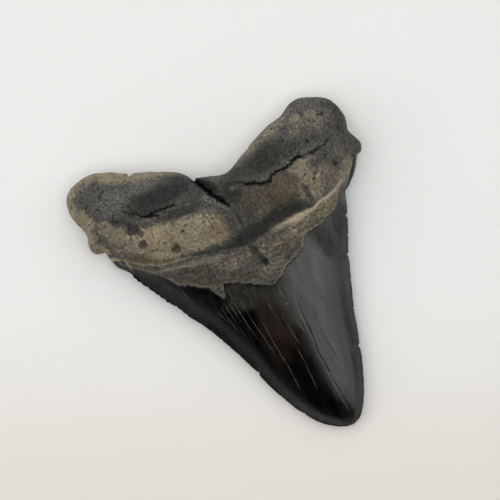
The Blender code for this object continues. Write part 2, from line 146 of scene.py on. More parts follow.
# The crack opens on the outline here.
CRACK_MOUTH = (-6.1, 35.7)
RIGHT_LOBE = (
    (-5.2, 36.1), (-3.6, 35.6), (-2.0, 35.1), (-0.4, 34.6), (1.4, 33.9), (3.2, 33.7), (5.2, 34.1),
    (7.0, 34.9), (8.8, 35.9), (10.6, 36.8), (12.4, 37.5), (13.8, 38.5), (15.6, 39.2), (17.6, 40.1),
    (19.6, 40.8), (21.6, 41.5), (23.6, 41.8), (25.4, 42.2), (27.2, 43.2), (28.9, 44.2),
    (30.6, 44.75), (32.6, 44.75), (34.6, 44.2), (36.6, 43.3), (38.6, 42.4), (40.2, 41.2),
    (41.4, 39.6), (42.2, 37.7), (42.7, 35.8), (42.9, 33.8), (42.5, 31.8), (42.0, 30.1),
    (42.6, 28.4), (43.3, 26.8), (43.9, 25.0), (43.5, 23.3), (42.8, 22.5),
)
RIGHT_SHOULDER = (41.6, 22.1)
# The right cutting edge, from the shoulder down to the tip.
RIGHT_EDGE = (
    (40.9, 21.0), (39.6, 19.1), (38.2, 17.4), (36.7, 15.9), (35.2, 14.6), (34.0, 14.0),
    (33.4, 13.0), (32.9, 11.2), (32.3, 9.4), (31.6, 7.7), (31.0, 6.1), (30.3, 4.3), (29.5, 2.4),
    (28.7, 0.7), (27.9, -1.1), (27.1, -2.8), (26.5, -4.3), (25.9, -6.2), (25.2, -8.1),
    (24.5, -10.1), (23.8, -12.1), (23.1, -14.1), (22.4, -16.1), (21.7, -18.1), (21.1, -20.1),
    (20.5, -22.1), (20.0, -24.1), (19.4, -26.2), (18.8, -28.2), (18.1, -30.3), (17.7, -32.1),
    (17.1, -34.1), (16.4, -36.1), (15.7, -38.1), (14.9, -40.2), (14.0, -42.2), (13.1, -44.1),
    (12.0, -46.1), (10.8, -47.9), (9.6, -49.4), (8.1, -50.4),
)
TIP = (6.4, -51.0)
# The left cutting edge, from the tip up to the shoulder.
LEFT_EDGE = (
    (4.6, -50.8), (3.0, -50.2), (1.4, -49.3), (-0.2, -48.3), (-1.7, -47.0), (-3.1, -45.6),
    (-4.4, -43.9), (-5.6, -42.1), (-6.8, -40.2), (-7.9, -38.2), (-8.8, -36.3), (-9.7, -34.4),
    (-10.6, -32.4), (-11.5, -30.3), (-12.2, -28.3), (-12.9, -26.3), (-13.2, -24.5), (-14.0, -22.6),
    (-14.8, -20.6), (-15.6, -18.6), (-16.4, -16.6), (-17.3, -14.6), (-18.2, -12.6), (-19.1, -10.6),
    (-20.0, -8.7), (-21.0, -6.8), (-22.1, -4.8), (-23.2, -3.0), (-24.5, -1.2), (-25.6, 0.8),
    (-26.5, 2.9), (-27.8, 4.7), (-29.1, 6.3), (-29.8, 8.0), (-30.9, 9.8), (-31.9, 11.7),
    (-32.9, 13.4), (-34.0, 15.2), (-34.8, 17.0), (-35.3, 18.8), (-36.5, 20.2), (-37.7, 21.4),
    (-38.5, 23.1), (-38.9, 25.2),
)
LEFT_SHOULDER = (-39.3, 27.4)
LEFT_WAIST = (
    (-41.0, 27.7), (-42.3, 28.3), (-43.0, 30.0), (-42.8, 31.8), (-42.2, 33.6), (-42.3, 35.8),
    (-43.0, 37.8), (-43.7, 39.8),
)

# The ledge where the root drops to the bourlette, continued past both shoulders.
LEDGE = (
    (-47.0, 26.4), (-39.3, 27.4), (-37.4, 24.8), (-35.2, 22.9), (-33.0, 21.3), (-30.6, 19.6),
    (-28.0, 18.3), (-25.4, 17.1), (-22.6, 16.4), (-19.6, 16.0), (-16.4, 15.4), (-13.2, 14.4),
    (-10.0, 13.6), (-7.0, 12.9), (-4.0, 12.0), (-1.0, 11.5), (2.0, 11.5), (5.0, 12.1), (8.0, 12.8),
    (11.0, 13.2), (14.0, 13.4), (17.0, 13.6), (20.0, 13.5), (22.4, 13.4), (25.0, 14.4),
    (28.0, 14.9), (30.6, 15.6), (33.2, 17.1), (35.8, 18.4), (38.2, 19.9), (40.2, 21.4),
    (41.6, 22.1), (47.0, 20.9),
)
# Where the tan layer ends on the black enamel.
ENAMEL_LINE = (
    (-47.0, 26.4), (-39.3, 27.4), (-38.3, 25.6), (-36.6, 24.0), (-35.4, 22.9), (-35.0, 21.4),
    (-34.4, 20.3), (-32.4, 19.0), (-30.4, 17.3), (-28.6, 15.6), (-26.8, 13.9), (-25.2, 12.1),
    (-24.1, 10.5), (-22.9, 9.1), (-20.8, 8.2), (-19.0, 7.1), (-17.4, 5.8), (-15.4, 4.8),
    (-14.6, 3.0), (-13.6, 1.4), (-12.4, 0.2), (-11.9, 2.1), (-11.0, 4.0), (-9.0, 3.5),
    (-6.8, 2.5), (-4.6, 1.2), (-2.4, 0.0), (-0.2, -1.3), (2.4, -2.4), (4.0, -1.6), (6.0, -0.7),
    (7.8, 0.9), (10.0, 1.7), (12.4, 2.7), (14.6, 3.7), (15.8, 5.3), (17.0, 7.0), (19.4, 7.7),
    (22.8, 8.0), (24.8, 9.1), (27.4, 9.9), (29.6, 11.3), (30.6, 13.2), (32.2, 14.8), (34.6, 16.5),
    (37.0, 18.2), (39.4, 20.3), (41.6, 22.1), (47.0, 20.9),
)
# The enamel reaches higher on the underside.
OUTER_ENAMEL_CENTRE_Y = 17.5
OUTER_ENAMEL_BEND = 0.0042
OUTER_ENAMEL_WANDER = 0.8
OUTER_ENAMEL_WANDER_SIZE = 4.0

CRACK = (
    CRACK_MOUTH, (-5.4, 34.8), (-5.0, 33.6), (-4.3, 32.0), (-3.6, 30.6), (-3.0, 29.3), (-2.2, 28.0),
    (-1.8, 27.0), (-1.0, 26.2), (-0.4, 25.2), (0.3, 24.0),
)
CRACK_TAIL = ((0.3, 24.0), (0.8, 22.0), (1.2, 20.5), (1.4, 18.0), (1.3, 15.0))
LEFT_FISSURE = (
    (-25.2, 33.6), (-24.8, 32.5), (-23.8, 31.9), (-22.8, 31.5), (-21.4, 31.7), (-20.0, 31.7),
    (-18.6, 31.6), (-17.4, 31.5), (-15.5, 31.3), (-13.5, 30.9),
)
LEFT_FISSURE_TAIL = (
    (-14.2, 31.0), (-12.0, 30.6), (-10.5, 30.3), (-9.0, 30.1), (-7.0, 29.9), (-5.0, 29.6),
)
UPPER_LEFT_FISSURE = ((-29.4, 36.1), (-28.2, 35.3), (-27.0, 34.1), (-25.4, 33.6), (-24.7, 32.6))
OUTER_LEFT_FISSURE = (
    (-36.2, 36.4), (-34.6, 35.7), (-33.2, 34.4), (-31.8, 33.8), (-30.6, 33.4), (-29.7, 32.2),
    (-28.4, 31.2),
)
LOWER_LEFT_FISSURE = ((-23.4, 31.6), (-22.6, 31.3), (-21.5, 31.0), (-20.4, 30.7), (-19.2, 30.0))
RIGHT_FISSURE_HEAD = ((0.0, 30.0), (1.6, 30.1), (3.0, 30.0), (5.0, 29.6), (6.5, 28.8), (8.0, 27.6))
RIGHT_FISSURE = (
    (6.6, 28.7), (8.0, 27.6), (9.5, 27.1), (10.6, 26.6), (11.4, 26.1), (12.6, 25.9), (14.0, 25.9),
    (14.8, 26.4), (15.4, 27.1), (16.5, 27.3), (18.0, 27.3), (19.5, 27.4), (21.0, 27.6),
    (22.3, 28.2), (23.5, 28.6), (24.8, 28.7), (25.5, 28.2), (26.5, 28.0),
)
RIGHT_FISSURE_TAIL = (
    (25.8, 28.1), (27.5, 28.3), (29.0, 28.3), (30.5, 28.3), (32.0, 28.6), (33.3, 28.9),
    (34.3, 29.4), (35.3, 29.9), (36.3, 30.3),
)
GOUGE = ((0.9, 10.9), (1.7, 8.6), (2.5, 6.4), (3.2, 4.6))
# Each groove: line, half width at its start and end, depth, length of its faded ends, and darkness,
# which is painted shade.
GROOVES = (
    (CRACK, 1.25, 0.42, 3.4, 0.8, 1.0),
    (CRACK_TAIL, 0.22, 0.16, 0.35, 3.0, 0.6),
    (LEFT_FISSURE, 0.52, 0.26, 1.5, 1.5, 1.0),
    (LEFT_FISSURE_TAIL, 0.24, 0.16, 0.4, 2.0, 0.75),
    (UPPER_LEFT_FISSURE, 0.16, 0.3, 0.6, 1.0, 0.9),
    (OUTER_LEFT_FISSURE, 0.3, 0.35, 0.45, 1.5, 0.55),
    (LOWER_LEFT_FISSURE, 0.62, 0.3, 1.0, 1.0, 0.95),
    (RIGHT_FISSURE_HEAD, 0.18, 0.3, 0.5, 1.5, 0.8),
    (RIGHT_FISSURE, 0.42, 0.56, 1.5, 1.5, 1.0),
    (RIGHT_FISSURE_TAIL, 0.46, 0.22, 0.9, 2.0, 0.95),
    (GOUGE, 0.9, 1.2, 0.5, 1.2, 0.12),
)
# A groove's sides wander by noise: broad swells and narrow bites, each as size in mm and share.
GROOVE_SWELLS = (2.4, 0.8)
GROOVE_BITES = (0.7, 0.7)
CRACK_SHELF_DROP = 1.5
CRACK_SHELF_WIDTH = 5.0
CRACK_SHELF_FADE = 4.0
# A groove keeps this share of its depth at its very end.
GROOVE_END_SHARE = 0.1
GROOVE_FADE_AT_OUTLINE = 1.2
# It is never narrower than this share of its drawn width.
GROOVE_NARROWEST = 0.25
# How fast its painted shade darkens from its rim inwards, and the painted shade beside it.
GROOVE_DARK_STEEPNESS = 2.2
HALO_STRENGTH = 0.5
HALO_WIDTH = 0.35

# Pits as x, y, radius and depth.
PITS = (
    (36.5, 37.3, 0.6, 0.9), (35.5, 37.7, 0.45, 0.6), (29.1, 31.7, 0.5, 0.9), (25.5, 29.8, 0.4, 0.5),
    (-19.3, 19.2, 1.6, 0.4), (-28.2, 29.2, 2.0, 0.5), (-27.8, 24.7, 1.4, 0.4),
    (-42.7, 43.6, 0.4, 0.4), (-42.7, 38.0, 0.4, 0.4), (-40.0, 36.8, 0.35, 0.3),
    (26.3, 20.9, 0.5, 0.5), (24.4, 23.0, 0.4, 0.4), (27.3, 22.2, 0.6, 0.4), (34.0, 22.4, 0.8, 0.5),
    (-15.2, 23.1, 0.5, 0.4), (-15.2, 40.8, 0.4, 0.3), (-10.0, 39.1, 0.4, 0.3),
    (33.9, 14.3, 0.5, 0.4), (-24.0, 17.7, 0.35, 0.4), (-21.5, 17.0, 0.35, 0.4),
    (-26.3, 18.5, 0.3, 0.35), (-18.5, 16.6, 0.3, 0.4), (-29.0, 20.0, 0.3, 0.35),
    (-22.8, 17.4, 0.25, 0.3), (-27.6, 19.2, 0.3, 0.3), (-31.4, 21.6, 0.3, 0.35),
    (-21.5, 22.2, 0.35, 0.3), (-6.0, 22.9, 0.35, 0.3), (21.5, 14.1, 0.4, 0.3),
    (40.1, 22.3, 0.4, 0.3), (32.3, 26.0, 0.4, 0.35), (-29.0, 31.4, 0.5, 0.5),
    (-25.9, 21.6, 0.4, 0.3), (3.0, 4.8, 0.8, 0.5),
)
# A pit and its painted shade fade out at these many times its radius. Only small pits get painted shade.
PIT_REACH = 1.3
PIT_DARK_REACH = 1.4
PIT_SHADE = 0.9
DARK_PIT_RADIUS = 1.0
PIT_RAGGEDNESS = 0.6
# Broad hollows and swells of the root as x, y, reach along x, reach along y and height.
SWELLS = (
    (-17.0, 35.8, 10.0, 3.4, -1.3), (16.0, 32.0, 8.0, 3.6, -1.3), (-35.0, 43.0, 7.0, 5.0, 0.8),
    (34.0, 38.0, 6.0, 5.0, 0.8), (-20.0, 24.0, 10.0, 3.5, 0.5), (-38.0, 31.5, 4.0, 3.0, -0.9),
    (38.0, 28.5, 5.0, 2.6, -0.8), (0.0, 31.0, 5.0, 2.5, -0.8),
)

LUMP_SIZE = 5.5
LUMP_HEIGHT = 0.42
SMALL_LUMP_SIZE = 2.4
SMALL_LUMP_HEIGHT = 0.16
OUTER_LUMP_OFFSET = 60.0
LUMP_FADE_AT_ENAMEL = 4.0
LUMP_FADE_AT_OUTLINE = 3.0

# Fine cracks in the enamel, from the root down. Pale ones hold dust, dark ones stand open.
PALE_LINES = (
    ((-24.2, 9.4), (-23.3, 7.2), (-22.7, 4.8), (-22.1, 2.4)),
    ((-14.9, -1.0), (-14.4, -5.0), (-13.6, -9.0), (-12.9, -12.0)),
    ((-13.4, 0.0), (-13.1, -4.0), (-12.5, -9.0), (-11.6, -14.0)),
    ((-12.2, -1.0), (-11.7, -5.0), (-11.1, -9.0)),
    ((-10.6, 3.0), (-10.5, -3.0), (-10.0, -8.0), (-9.4, -12.5), (-8.8, -16.0)),
    ((-8.3, -6.0), (-7.9, -10.0), (-7.2, -14.0), (-6.6, -18.0), (-6.1, -22.0)),
    ((-5.5, -9.0), (-5.2, -14.0), (-4.9, -19.0), (-4.3, -24.0), (-3.8, -29.0), (-3.9, -35.0)),
    ((0.8, -9.0), (1.1, -14.0), (1.5, -18.5), (2.0, -23.0)),
    ((0.7, -20.0), (0.9, -25.0), (1.0, -31.0), (0.9, -37.5)),
    ((3.9, -12.0), (4.6, -16.5), (5.1, -20.0)),
    ((5.9, -31.0), (6.1, -35.0), (6.4, -40.0), (6.9, -48.0)),
    ((3.4, -3.0), (3.5, -8.0)),
    ((-17.1, -0.9), (-15.8, -4.2), (-14.2, -8.0)),
    ((-8.8, -1.0), (-8.5, -4.5), (-8.0, -8.0)),
    ((-1.2, -3.8), (-1.4, -7.5), (-1.6, -11.0)),
)
DARK_LINES = (
    ((6.7, -8.9), (6.3, -13.3), (6.3, -17.1), (6.4, -20.4), (5.9, -26.3), (6.2, -30.0), (6.4, -34.2),
     (6.7, -39.6), (7.2, -47.5)),
    ((9.9, -12.5), (9.6, -17.0), (9.5, -22.4), (10.2, -28.5), (11.0, -34.0)),
    ((-16.6, 3.5), (-16.0, -1.0), (-15.3, -5.0)),
    ((-1.0, -6.0), (-0.6, -12.0), (0.1, -19.0)),
)
LINE_DEPTH = 0.04
DARK_LINE_DEPTH = 0.09
LINE_HALF_WIDTH = 0.1
DARK_LINE_HALF_WIDTH = 0.2
LINE_FADE = 3.0

# Colour patches of the root as x, y, reach along, reach across, turn in degrees, strength.
TAN_PATCHES = (
    (-24.0, 24.2, 8.0, 4.2, -12.0, 1.0), (-14.5, 22.2, 8.0, 4.1, 0.0, 0.75),
    (-33.6, 30.2, 5.5, 2.4, -52.0, 0.7), (-33.5, 24.8, 5.5, 1.8, -42.0, 0.35),
    (-7.0, 20.2, 4.6, 3.8, 0.0, 0.75), (-23.0, 18.9, 6.0, 1.9, -18.0, 1.0),
    (-12.0, 18.4, 8.0, 2.2, -10.0, 0.9), (8.5, 20.5, 3.0, 4.5, 0.0, 0.4),
    (20.3, 19.5, 1.8, 4.6, 10.0, 0.4),
    (25.2, 22.4, 2.6, 6.0, 22.0, 0.7), (25.6, 18.0, 2.2, 3.0, 0.0, 0.8),
    (30.5, 20.0, 4.2, 3.6, 0.0, 0.35), (36.0, 19.8, 4.0, 1.6, 33.0, 0.6),
    (24.0, 26.4, 4.0, 1.2, 8.0, 0.4), (-42.6, 42.5, 1.7, 5.0, 0.0, 0.8),
    (-41.0, 38.2, 2.4, 3.6, 15.0, 0.8), (-41.0, 29.2, 2.6, 1.5, 0.0, 0.85),
    (-38.0, 49.3, 4.5, 1.0, 12.0, 0.6), (-27.6, 46.8, 5.0, 2.2, -25.0, 0.8),
    (-19.0, 43.9, 6.0, 1.4, -22.0, 0.6), (-11.0, 40.6, 4.0, 1.0, -33.0, 0.5),
    (28.6, 39.6, 1.7, 1.2, 0.0, 0.75), (33.4, 38.6, 1.5, 1.2, 0.0, 1.0),
    (22.0, 40.0, 6.0, 1.4, 22.0, 0.45), (31.5, 36.5, 5.0, 3.5, 0.0, 0.3),
    (15.0, 9.4, 9.0, 2.6, 18.0, 0.5), (26.0, 12.4, 6.0, 1.8, 25.0, 0.6),
    (1.0, 9.0, 5.0, 1.8, 0.0, 0.4), (-20.0, 13.4, 9.0, 1.0, -18.0, 0.12),
    (37.0, 24.6, 3.4, 2.0, 0.0, 0.15),
    (-6.0, 8.5, 4.0, 2.0, 0.0, 0.35), (5.0, 2.6, 4.0, 2.0, 15.0, 0.3),
)
OLIVE_PATCHES = (
    (8.0, 22.5, 5.0, 4.6, 0.0, 0.8), (14.5, 21.5, 4.6, 4.4, 0.0, 1.0),
    (18.4, 22.6, 3.0, 4.0, 0.0, 0.9), (-31.0, 21.6, 4.6, 1.3, -33.0, 0.6),
    (-26.0, 18.9, 4.0, 0.7, -25.0, 0.2), (1.0, 9.6, 1.6, 1.4, 0.0, 0.6),
    (-23.0, 10.6, 5.0, 1.0, -33.0, 0.4), (-14.5, 6.6, 5.0, 1.3, -28.0, 0.6),
    (-4.0, 3.4, 5.0, 1.2, -18.0, 0.5), (4.0, 29.0, 4.0, 0.9, -12.0, 0.7),
    (12.0, 5.4, 3.0, 1.4, 25.0, 0.35),
)
WARM_PATCHES = (
    (-27.0, 18.7, 7.5, 0.7, -24.0, 0.9), (-6.4, 19.6, 4.2, 2.8, -10.0, 0.8),
    (16.6, 21.4, 2.4, 2.6, 0.0, 0.9), (20.4, 19.8, 1.2, 3.0, 0.0, 0.5),
    (-41.2, 28.4, 1.6, 0.9, 0.0, 0.7), (-30.0, 20.6, 4.0, 0.8, -33.0, 0.4),
    (33.4, 38.6, 1.4, 1.1, 0.0, 0.6), (-21.0, 24.0, 7.0, 4.0, -8.0, 0.25),
    (12.0, 9.0, 7.0, 3.0, 10.0, 0.25), (24.5, 22.5, 2.0, 4.0, 20.0, 0.3),
)
# Painted shade in the root's hollows and creases and beside its cracks, together with dark stains; same
# columns as above.
SHADE_AND_DARK_PATCHES = (
    (-16.5, 35.4, 10.0, 3.0, -5.0, 0.95), (-10.0, 36.6, 4.0, 2.6, -30.0, 0.6),
    (-22.0, 33.6, 7.0, 1.8, -8.0, 0.8), (15.0, 32.2, 7.0, 3.6, 12.0, 0.95),
    (6.0, 31.6, 6.0, 2.0, 0.0, 0.7), (22.0, 31.6, 6.0, 2.2, 10.0, 0.6),
    (2.4, 27.0, 3.4, 3.4, 0.0, 0.9), (4.0, 21.0, 3.6, 5.0, 0.0, 0.5),
    (12.5, 19.0, 5.0, 4.0, 0.0, 0.4), (38.5, 36.0, 3.0, 6.0, 0.0, 0.45),
    (33.5, 32.5, 6.0, 2.0, 15.0, 0.45), (-13.0, 28.6, 7.0, 1.5, -3.0, 0.75),
    (-23.5, 29.2, 5.0, 0.9, -12.0, 0.5), (-2.0, 20.4, 1.6, 5.0, 8.0, 0.6),
    (38.2, 32.6, 3.4, 1.0, -30.0, 0.75), (30.0, 25.8, 4.0, 1.8, 8.0, 0.25),
    (31.0, 34.0, 6.0, 2.6, 20.0, 0.45), (40.6, 37.0, 1.6, 6.0, 0.0, 0.6),
    (13.5, 32.4, 4.6, 2.6, 10.0, 0.6), (6.6, 23.6, 4.6, 4.0, 0.0, 0.35),
    (-9.5, 33.6, 5.0, 2.6, -10.0, 0.45), (15.5, 32.6, 3.4, 2.4, 20.0, 1.0),
    (34.0, 41.0, 6.0, 3.6, -15.0, 0.4), (3.0, 25.4, 2.6, 3.0, 0.0, 0.5),
    (-24.0, 14.0, 6.5, 0.5, -33.0, 0.15), (-7.0, 6.2, 5.0, 0.8, -25.0, 0.25),
    (-12.0, 12.4, 6.0, 0.5, -12.0, 0.35), (9.0, 6.4, 4.0, 1.2, 20.0, 0.3),
    (22.9, 18.2, 0.8, 2.4, 0.0, 0.6), (-2.6, 32.0, 3.6, 1.6, -58.0, 0.85),
    (2.0, 27.5, 3.4, 2.6, 0.0, 0.45), (-30.5, 33.6, 3.6, 1.4, -20.0, 0.5),
    (-26.0, 32.6, 2.2, 1.6, -30.0, 0.4), (5.0, 28.0, 4.0, 1.6, -20.0, 0.4),
    (40.5, 28.5, 2.4, 3.0, 0.0, 0.25), (3.0, 18.0, 3.0, 3.6, 0.0, 0.3),
    (1.5, 9.0, 1.0, 2.0, -12.0, 0.5), (2.9, 5.0, 0.8, 1.2, 0.0, 0.9),
    (33.7, 23.0, 1.6, 1.6, 0.0, 0.4), (17.6, 18.6, 2.4, 1.6, 0.0, 0.45),
)
# Dark round stains with crisp edges, on the tan band.
STAINS = (
    (-28.3, 29.5, 1.9, 1.6, -20.0, 0.85), (-26.9, 27.6, 1.0, 0.9, 0.0, 0.75),
    (-27.6, 24.6, 1.35, 1.15, 0.0, 0.86), (-19.2, 19.4, 1.45, 1.25, 0.0, 0.82),
    (-24.6, 21.4, 0.7, 0.5, 0.0, 0.5), (1.9, 8.2, 3.2, 1.1, -68.0, 0.78),
    (2.8, 5.4, 1.7, 1.1, -70.0, 0.9), (-13.8, 24.4, 0.5, 0.35, 0.0, 0.7),
    (-6.9, 20.6, 0.5, 0.7, 0.0, 0.4), (-22.8, 23.4, 0.5, 0.4, 0.0, 0.5),
)
# Where loose pale crumbs lie thick.
CRUMB_PATCHES = (
    (-4.6, 28.9, 1.6, 1.2, -30.0, 0.9), (-1.9, 26.2, 2.2, 0.8, -58.0, 1.0),
    (-31.5, 39.5, 5.0, 3.0, 0.0, 0.4), (-35.0, 35.2, 1.2, 0.6, 0.0, 0.9),
    (-23.0, 30.8, 0.7, 0.4, 0.0, 1.0), (33.0, 41.0, 5.0, 3.0, 0.0, 0.6),
    (3.6, 28.4, 1.4, 0.5, 0.0, 0.8), (36.0, 36.0, 4.0, 3.0, 0.0, 0.5),
    (-20.5, 40.5, 4.0, 2.0, -20.0, 0.4), (13.0, 33.5, 8.0, 5.0, 30.0, 0.1),
    (-10.5, 29.8, 1.2, 0.4, 0.0, 0.8), (2.0, 33.0, 4.0, 1.0, 0.0, 0.15),
    (-14.0, 12.8, 8.0, 0.9, -13.0, 0.5), (-8.5, 9.6, 5.0, 1.8, -25.0, 0.35),
)
PALE_PATCHES = (
    (-35.2, 35.4, 0.8, 0.5, 0.0, 0.5), (-35.1, 20.8, 1.4, 0.7, -45.0, 0.7),
    (-22.0, 14.2, 8.0, 0.35, -14.0, 0.3), (-23.2, 30.9, 0.35, 0.25, 0.0, 0.7),
    (-21.2, 30.2, 0.3, 0.2, 0.0, 0.5), (17.5, 12.2, 3.0, 0.8, 8.0, 0.6),
    (-13.0, 12.5, 5.0, 0.8, -12.0, 0.22),
)
# The pocket that the crack opens on its right, and chips of the cutting edges.
POCKETS = (
    (-4.0, 33.1, 3.0, 1.1, -61.0, 1.0), (-3.0, 31.6, 2.6, 1.5, -60.0, 0.55),
    (-1.2, 27.6, 1.4, 0.4, -55.0, 0.6),
)
# The pocket is carved this deep, and darkened with painted shade.
POCKET_DEPTH = 1.3
POCKET_SHADE = 0.92
CHIPS = (
    (-35.6, 19.9, 1.5, 0.9, -42.0, 1.0), (-13.4, -24.6, 0.5, 0.3, 60.0, 0.6),
    (-29.2, 6.9, 0.6, 0.3, 55.0, 0.4), (3.6, -9.3, 0.2, 0.3, 0.0, 0.7),
    (-5.9, -41.9, 0.4, 0.3, 60.0, 0.3),
)
# Nicks of the outline as x, y, radius and depth. They end at this many times their radius.
NICK_REACH = 3.0
NICKS = (
    (31.3, 6.9, 0.55, 0.55), (26.6, -3.9, 0.5, 0.5), (21.3, -19.3, 0.35, 0.3),
    (18.2, -30.2, 0.5, 0.45), (29.0, 1.4, 0.3, 0.25), (24.1, -11.2, 0.3, 0.2),
    (15.5, -38.8, 0.3, 0.2), (-13.2, -24.8, 0.45, 0.4), (-5.8, -42.0, 0.4, 0.28),
    (-29.3, 6.9, 0.45, 0.4), (-20.6, -7.6, 0.3, 0.22), (-27.0, 3.6, 0.3, 0.25),
    (-31.2, 10.4, 0.3, 0.25), (-33.6, 14.6, 0.35, 0.3), (-23.6, -2.2, 0.25, 0.2),
    (-25.2, 0.1, 0.35, 0.3), (-9.2, -35.4, 0.3, 0.2), (-22.8, 45.6, 0.45, 0.6),
    (-14.6, 42.6, 0.3, 0.25), (-6.0, 36.0, 0.4, 0.2), (-32.4, 12.5, 0.3, 0.3),
    (-30.3, 8.9, 0.3, 0.28), (-28.4, 5.5, 0.35, 0.3), (-26.1, 1.9, 0.3, 0.28),
    (-34.4, 16.2, 0.35, 0.3), (-21.9, -5.0, 0.25, 0.2), (-18.8, -11.2, 0.3, 0.2),
    (-16.0, -17.5, 0.3, 0.2), (-35.0, 17.9, 0.3, 0.3),
)
# A grey film on the enamel below both shoulders.
FILM = (
    (38.0, 18.2, 5.5, 2.4, 47.0, 1.0), (33.0, 11.0, 1.6, 4.0, 12.0, 0.6),
    (-37.2, 22.8, 3.4, 2.2, 60.0, 0.15),
)
# Dull enamel on the upper blades, and how far the edges of the blade are dull.
DULL_ENAMEL = (
    (-28.6, 8.4, 11.0, 2.4, -60.0, 0.85), (-34.5, 18.0, 3.0, 1.2, -60.0, 0.5),
    (22.0, 3.0, 3.0, 9.0, 16.0, 0.9),
)
DULL_EDGE_WIDTH = 0.8
DULL_TIP_WIDTH = 1.8
DULL_TIP_REACH = 26.0
DULL_EDGE_SHARE = 0.8
BROWN_ENAMEL = ((-2.0, -13.0, 4.0, 8.0, 6.0, 0.9), (-4.6, -19.0, 3.0, 7.0, 8.0, 0.6))
# Grey patches of the enamel: partly worn enamel, partly painted sheen and reflection.
GREY_ENAMEL_AND_SHEEN = (
    (13.0, -2.0, 10.0, 8.0, 0.0, 0.55), (20.0, 3.0, 4.0, 7.0, -10.0, 0.75),
    (-7.0, -2.6, 5.5, 3.2, -8.0, 1.0), (1.5, -6.0, 3.0, 3.0, 0.0, 0.8),
    (4.5, -10.0, 3.0, 6.0, 0.0, 0.8), (0.0, -4.0, 6.0, 2.6, 0.0, 0.7),
    (-8.6, 1.2, 3.4, 2.2, 10.0, 0.9),
)

RIGHT_CUTTING_EDGE = (RIGHT_SHOULDER,) + RIGHT_EDGE + (TIP,)
LEFT_CUTTING_EDGE = (TIP,) + LEFT_EDGE + (LEFT_SHOULDER,)
ROOT_LINE = (
    (LEFT_SHOULDER,) + LEFT_WAIST + LEFT_LOBE + (CRACK_MOUTH,) + RIGHT_LOBE + (RIGHT_SHOULDER,)
)

# Distances of the rows of points that follow the outline, in mm.
EDGE_ROWS = (0.07, 0.2, 0.42, 0.75, 1.15)
# A row's point stays only where it is at least this share of its distance from the outline.
ROW_CLEARANCE = 0.85
# Least distance of the lattice's points from rows and lines, as a share of the spacing.
LATTICE_CLEARANCE = 0.5
# Lines that the triangles follow stay this far from the outline.
TOP_LINE_CLEARANCE = 0.4
UNDER_LINE_CLEARANCE = 0.6
# Distance between the points of the enamel's edge on the underside.
UNDER_LINE_STEP = 0.4
ROOT_SPACING = 0.34
MEASURE_SPACING = 0.8
CDT_TOLERANCE = 1e-5
NEAR_NOTHING = 1e-4
# Points between two drawn ones while a curve is worked out, and how it wobbles in detail.
CURVE_STEPS = 12
WOBBLE_DETAIL_SCALE = 3.1
WOBBLE_DETAIL_SHARE = 0.6
# Least step to the right along a line that has one height for each x.
LEAST_X_STEP = 1e-6
EVENING_PASSES = 14
# Within a blot's drawn edge its strength goes up from about a half.
BLOT_EDGE = 0.55
# The relief of the stone fades in over this distance from the enamel.
RELIEF_RAMP = 0.5
FAR_AWAY = 99.0

# How near to a cutting edge a point feels it, and where the serrations fade out at the root.
EDGE_REACH = 2.0
SERRATION_TOP_Y = 22.0
SERRATION_FADE = 6.0
# The serrations' spacing drifts, and their depth is worn unevenly, counted in serrations.
DRIFT_SCALE = 0.22
DRIFT_SWAY = 3.0
WEAR_SCALE = 0.35
WEAR_CONTRAST = 4.0
WEAR_SHIFT = -1.4
CREST_SHARPNESS = 0.7
# The fibres of the relief are this much longer than wide, and no point goes below the ground.
FIBRE_SQUEEZE = (1.0, 0.1, 1.0)
LOWEST_PLACE = (-1.0, -1.0, 0.0)
# Attributes that only the geometry nodes read.
HELPER_MARKS = ("edge_run", "edge_gap", "edge_share", "edge_out", "stone_share")


def soft_step(value):
    """0 below 0, 1 above 1, and a smooth climb between."""
    value = np.clip(value, 0.0, 1.0)
    return value * value * (3.0 - 2.0 * value)


def soft_min(first, second, blend):
    """The smaller of the two, with the crease between them rounded over the blend."""
    overlap = np.maximum(blend - np.abs(first - second), 0.0) / blend
    return np.minimum(first, second) - overlap * overlap * blend / 4.0


def bell(value):
    return np.exp(-value * value)


def noise_at(points, size, offset=0.0):
    """Smooth noise from -1 to 1 over the plan, with swells about one size apart."""
    scale = 1.0 / size
    return np.array([noise.noise((x * scale, y * scale, offset)) for x, y in points])


def smooth_line(line, spacing, wobble=0.0, wobble_size=1.0, seed=0.0):
    """Points an equal way apart on a smooth curve through the line, moved sideways by noise."""
    line = np.array(line)
    padded = np.vstack([2 * line[0] - line[1], line, 2 * line[-1] - line[-2]])
    curve = []
    for before, start, end, after in zip(padded, padded[1:], padded[2:], padded[3:]):
        for t in np.linspace(0.0, 1.0, CURVE_STEPS, endpoint=False):
            pull = end - before + t * (2 * before - 5 * start + 4 * end - after)
            bend = 3 * start - before - 3 * end + after
            curve.append(start + 0.5 * t * (pull + t * t * bend))
    curve.append(line[-1])
    curve = np.array(curve)
    run = np.concatenate([[0.0], np.cumsum(np.hypot(*np.diff(curve, axis=0).T))])
    count = max(2, round(run[-1] / spacing) + 1)
    places = np.linspace(0.0, run[-1], count)
    fine = np.column_stack([np.interp(places, run, curve[:, axis]) for axis in (0, 1)])
    if wobble:
        along = np.gradient(fine, axis=0)
        across = np.column_stack([-along[:, 1], along[:, 0]])
        across /= np.maximum(np.linalg.norm(across, axis=1), NEAR_NOTHING)[:, None]
        ends = np.clip(np.minimum(places, run[-1] - places) / wobble_size, 0.0, 1.0)
        side = [noise.noise((place / wobble_size, seed, 0.0)) for place in places]
        closer = WOBBLE_DETAIL_SCALE * places / wobble_size
        detail = [noise.noise((place, seed, 7.0)) for place in closer]
        sway = np.array(side) + WOBBLE_DETAIL_SHARE * np.array(detail)
        fine += (wobble * ends * sway)[:, None] * across
    return fine


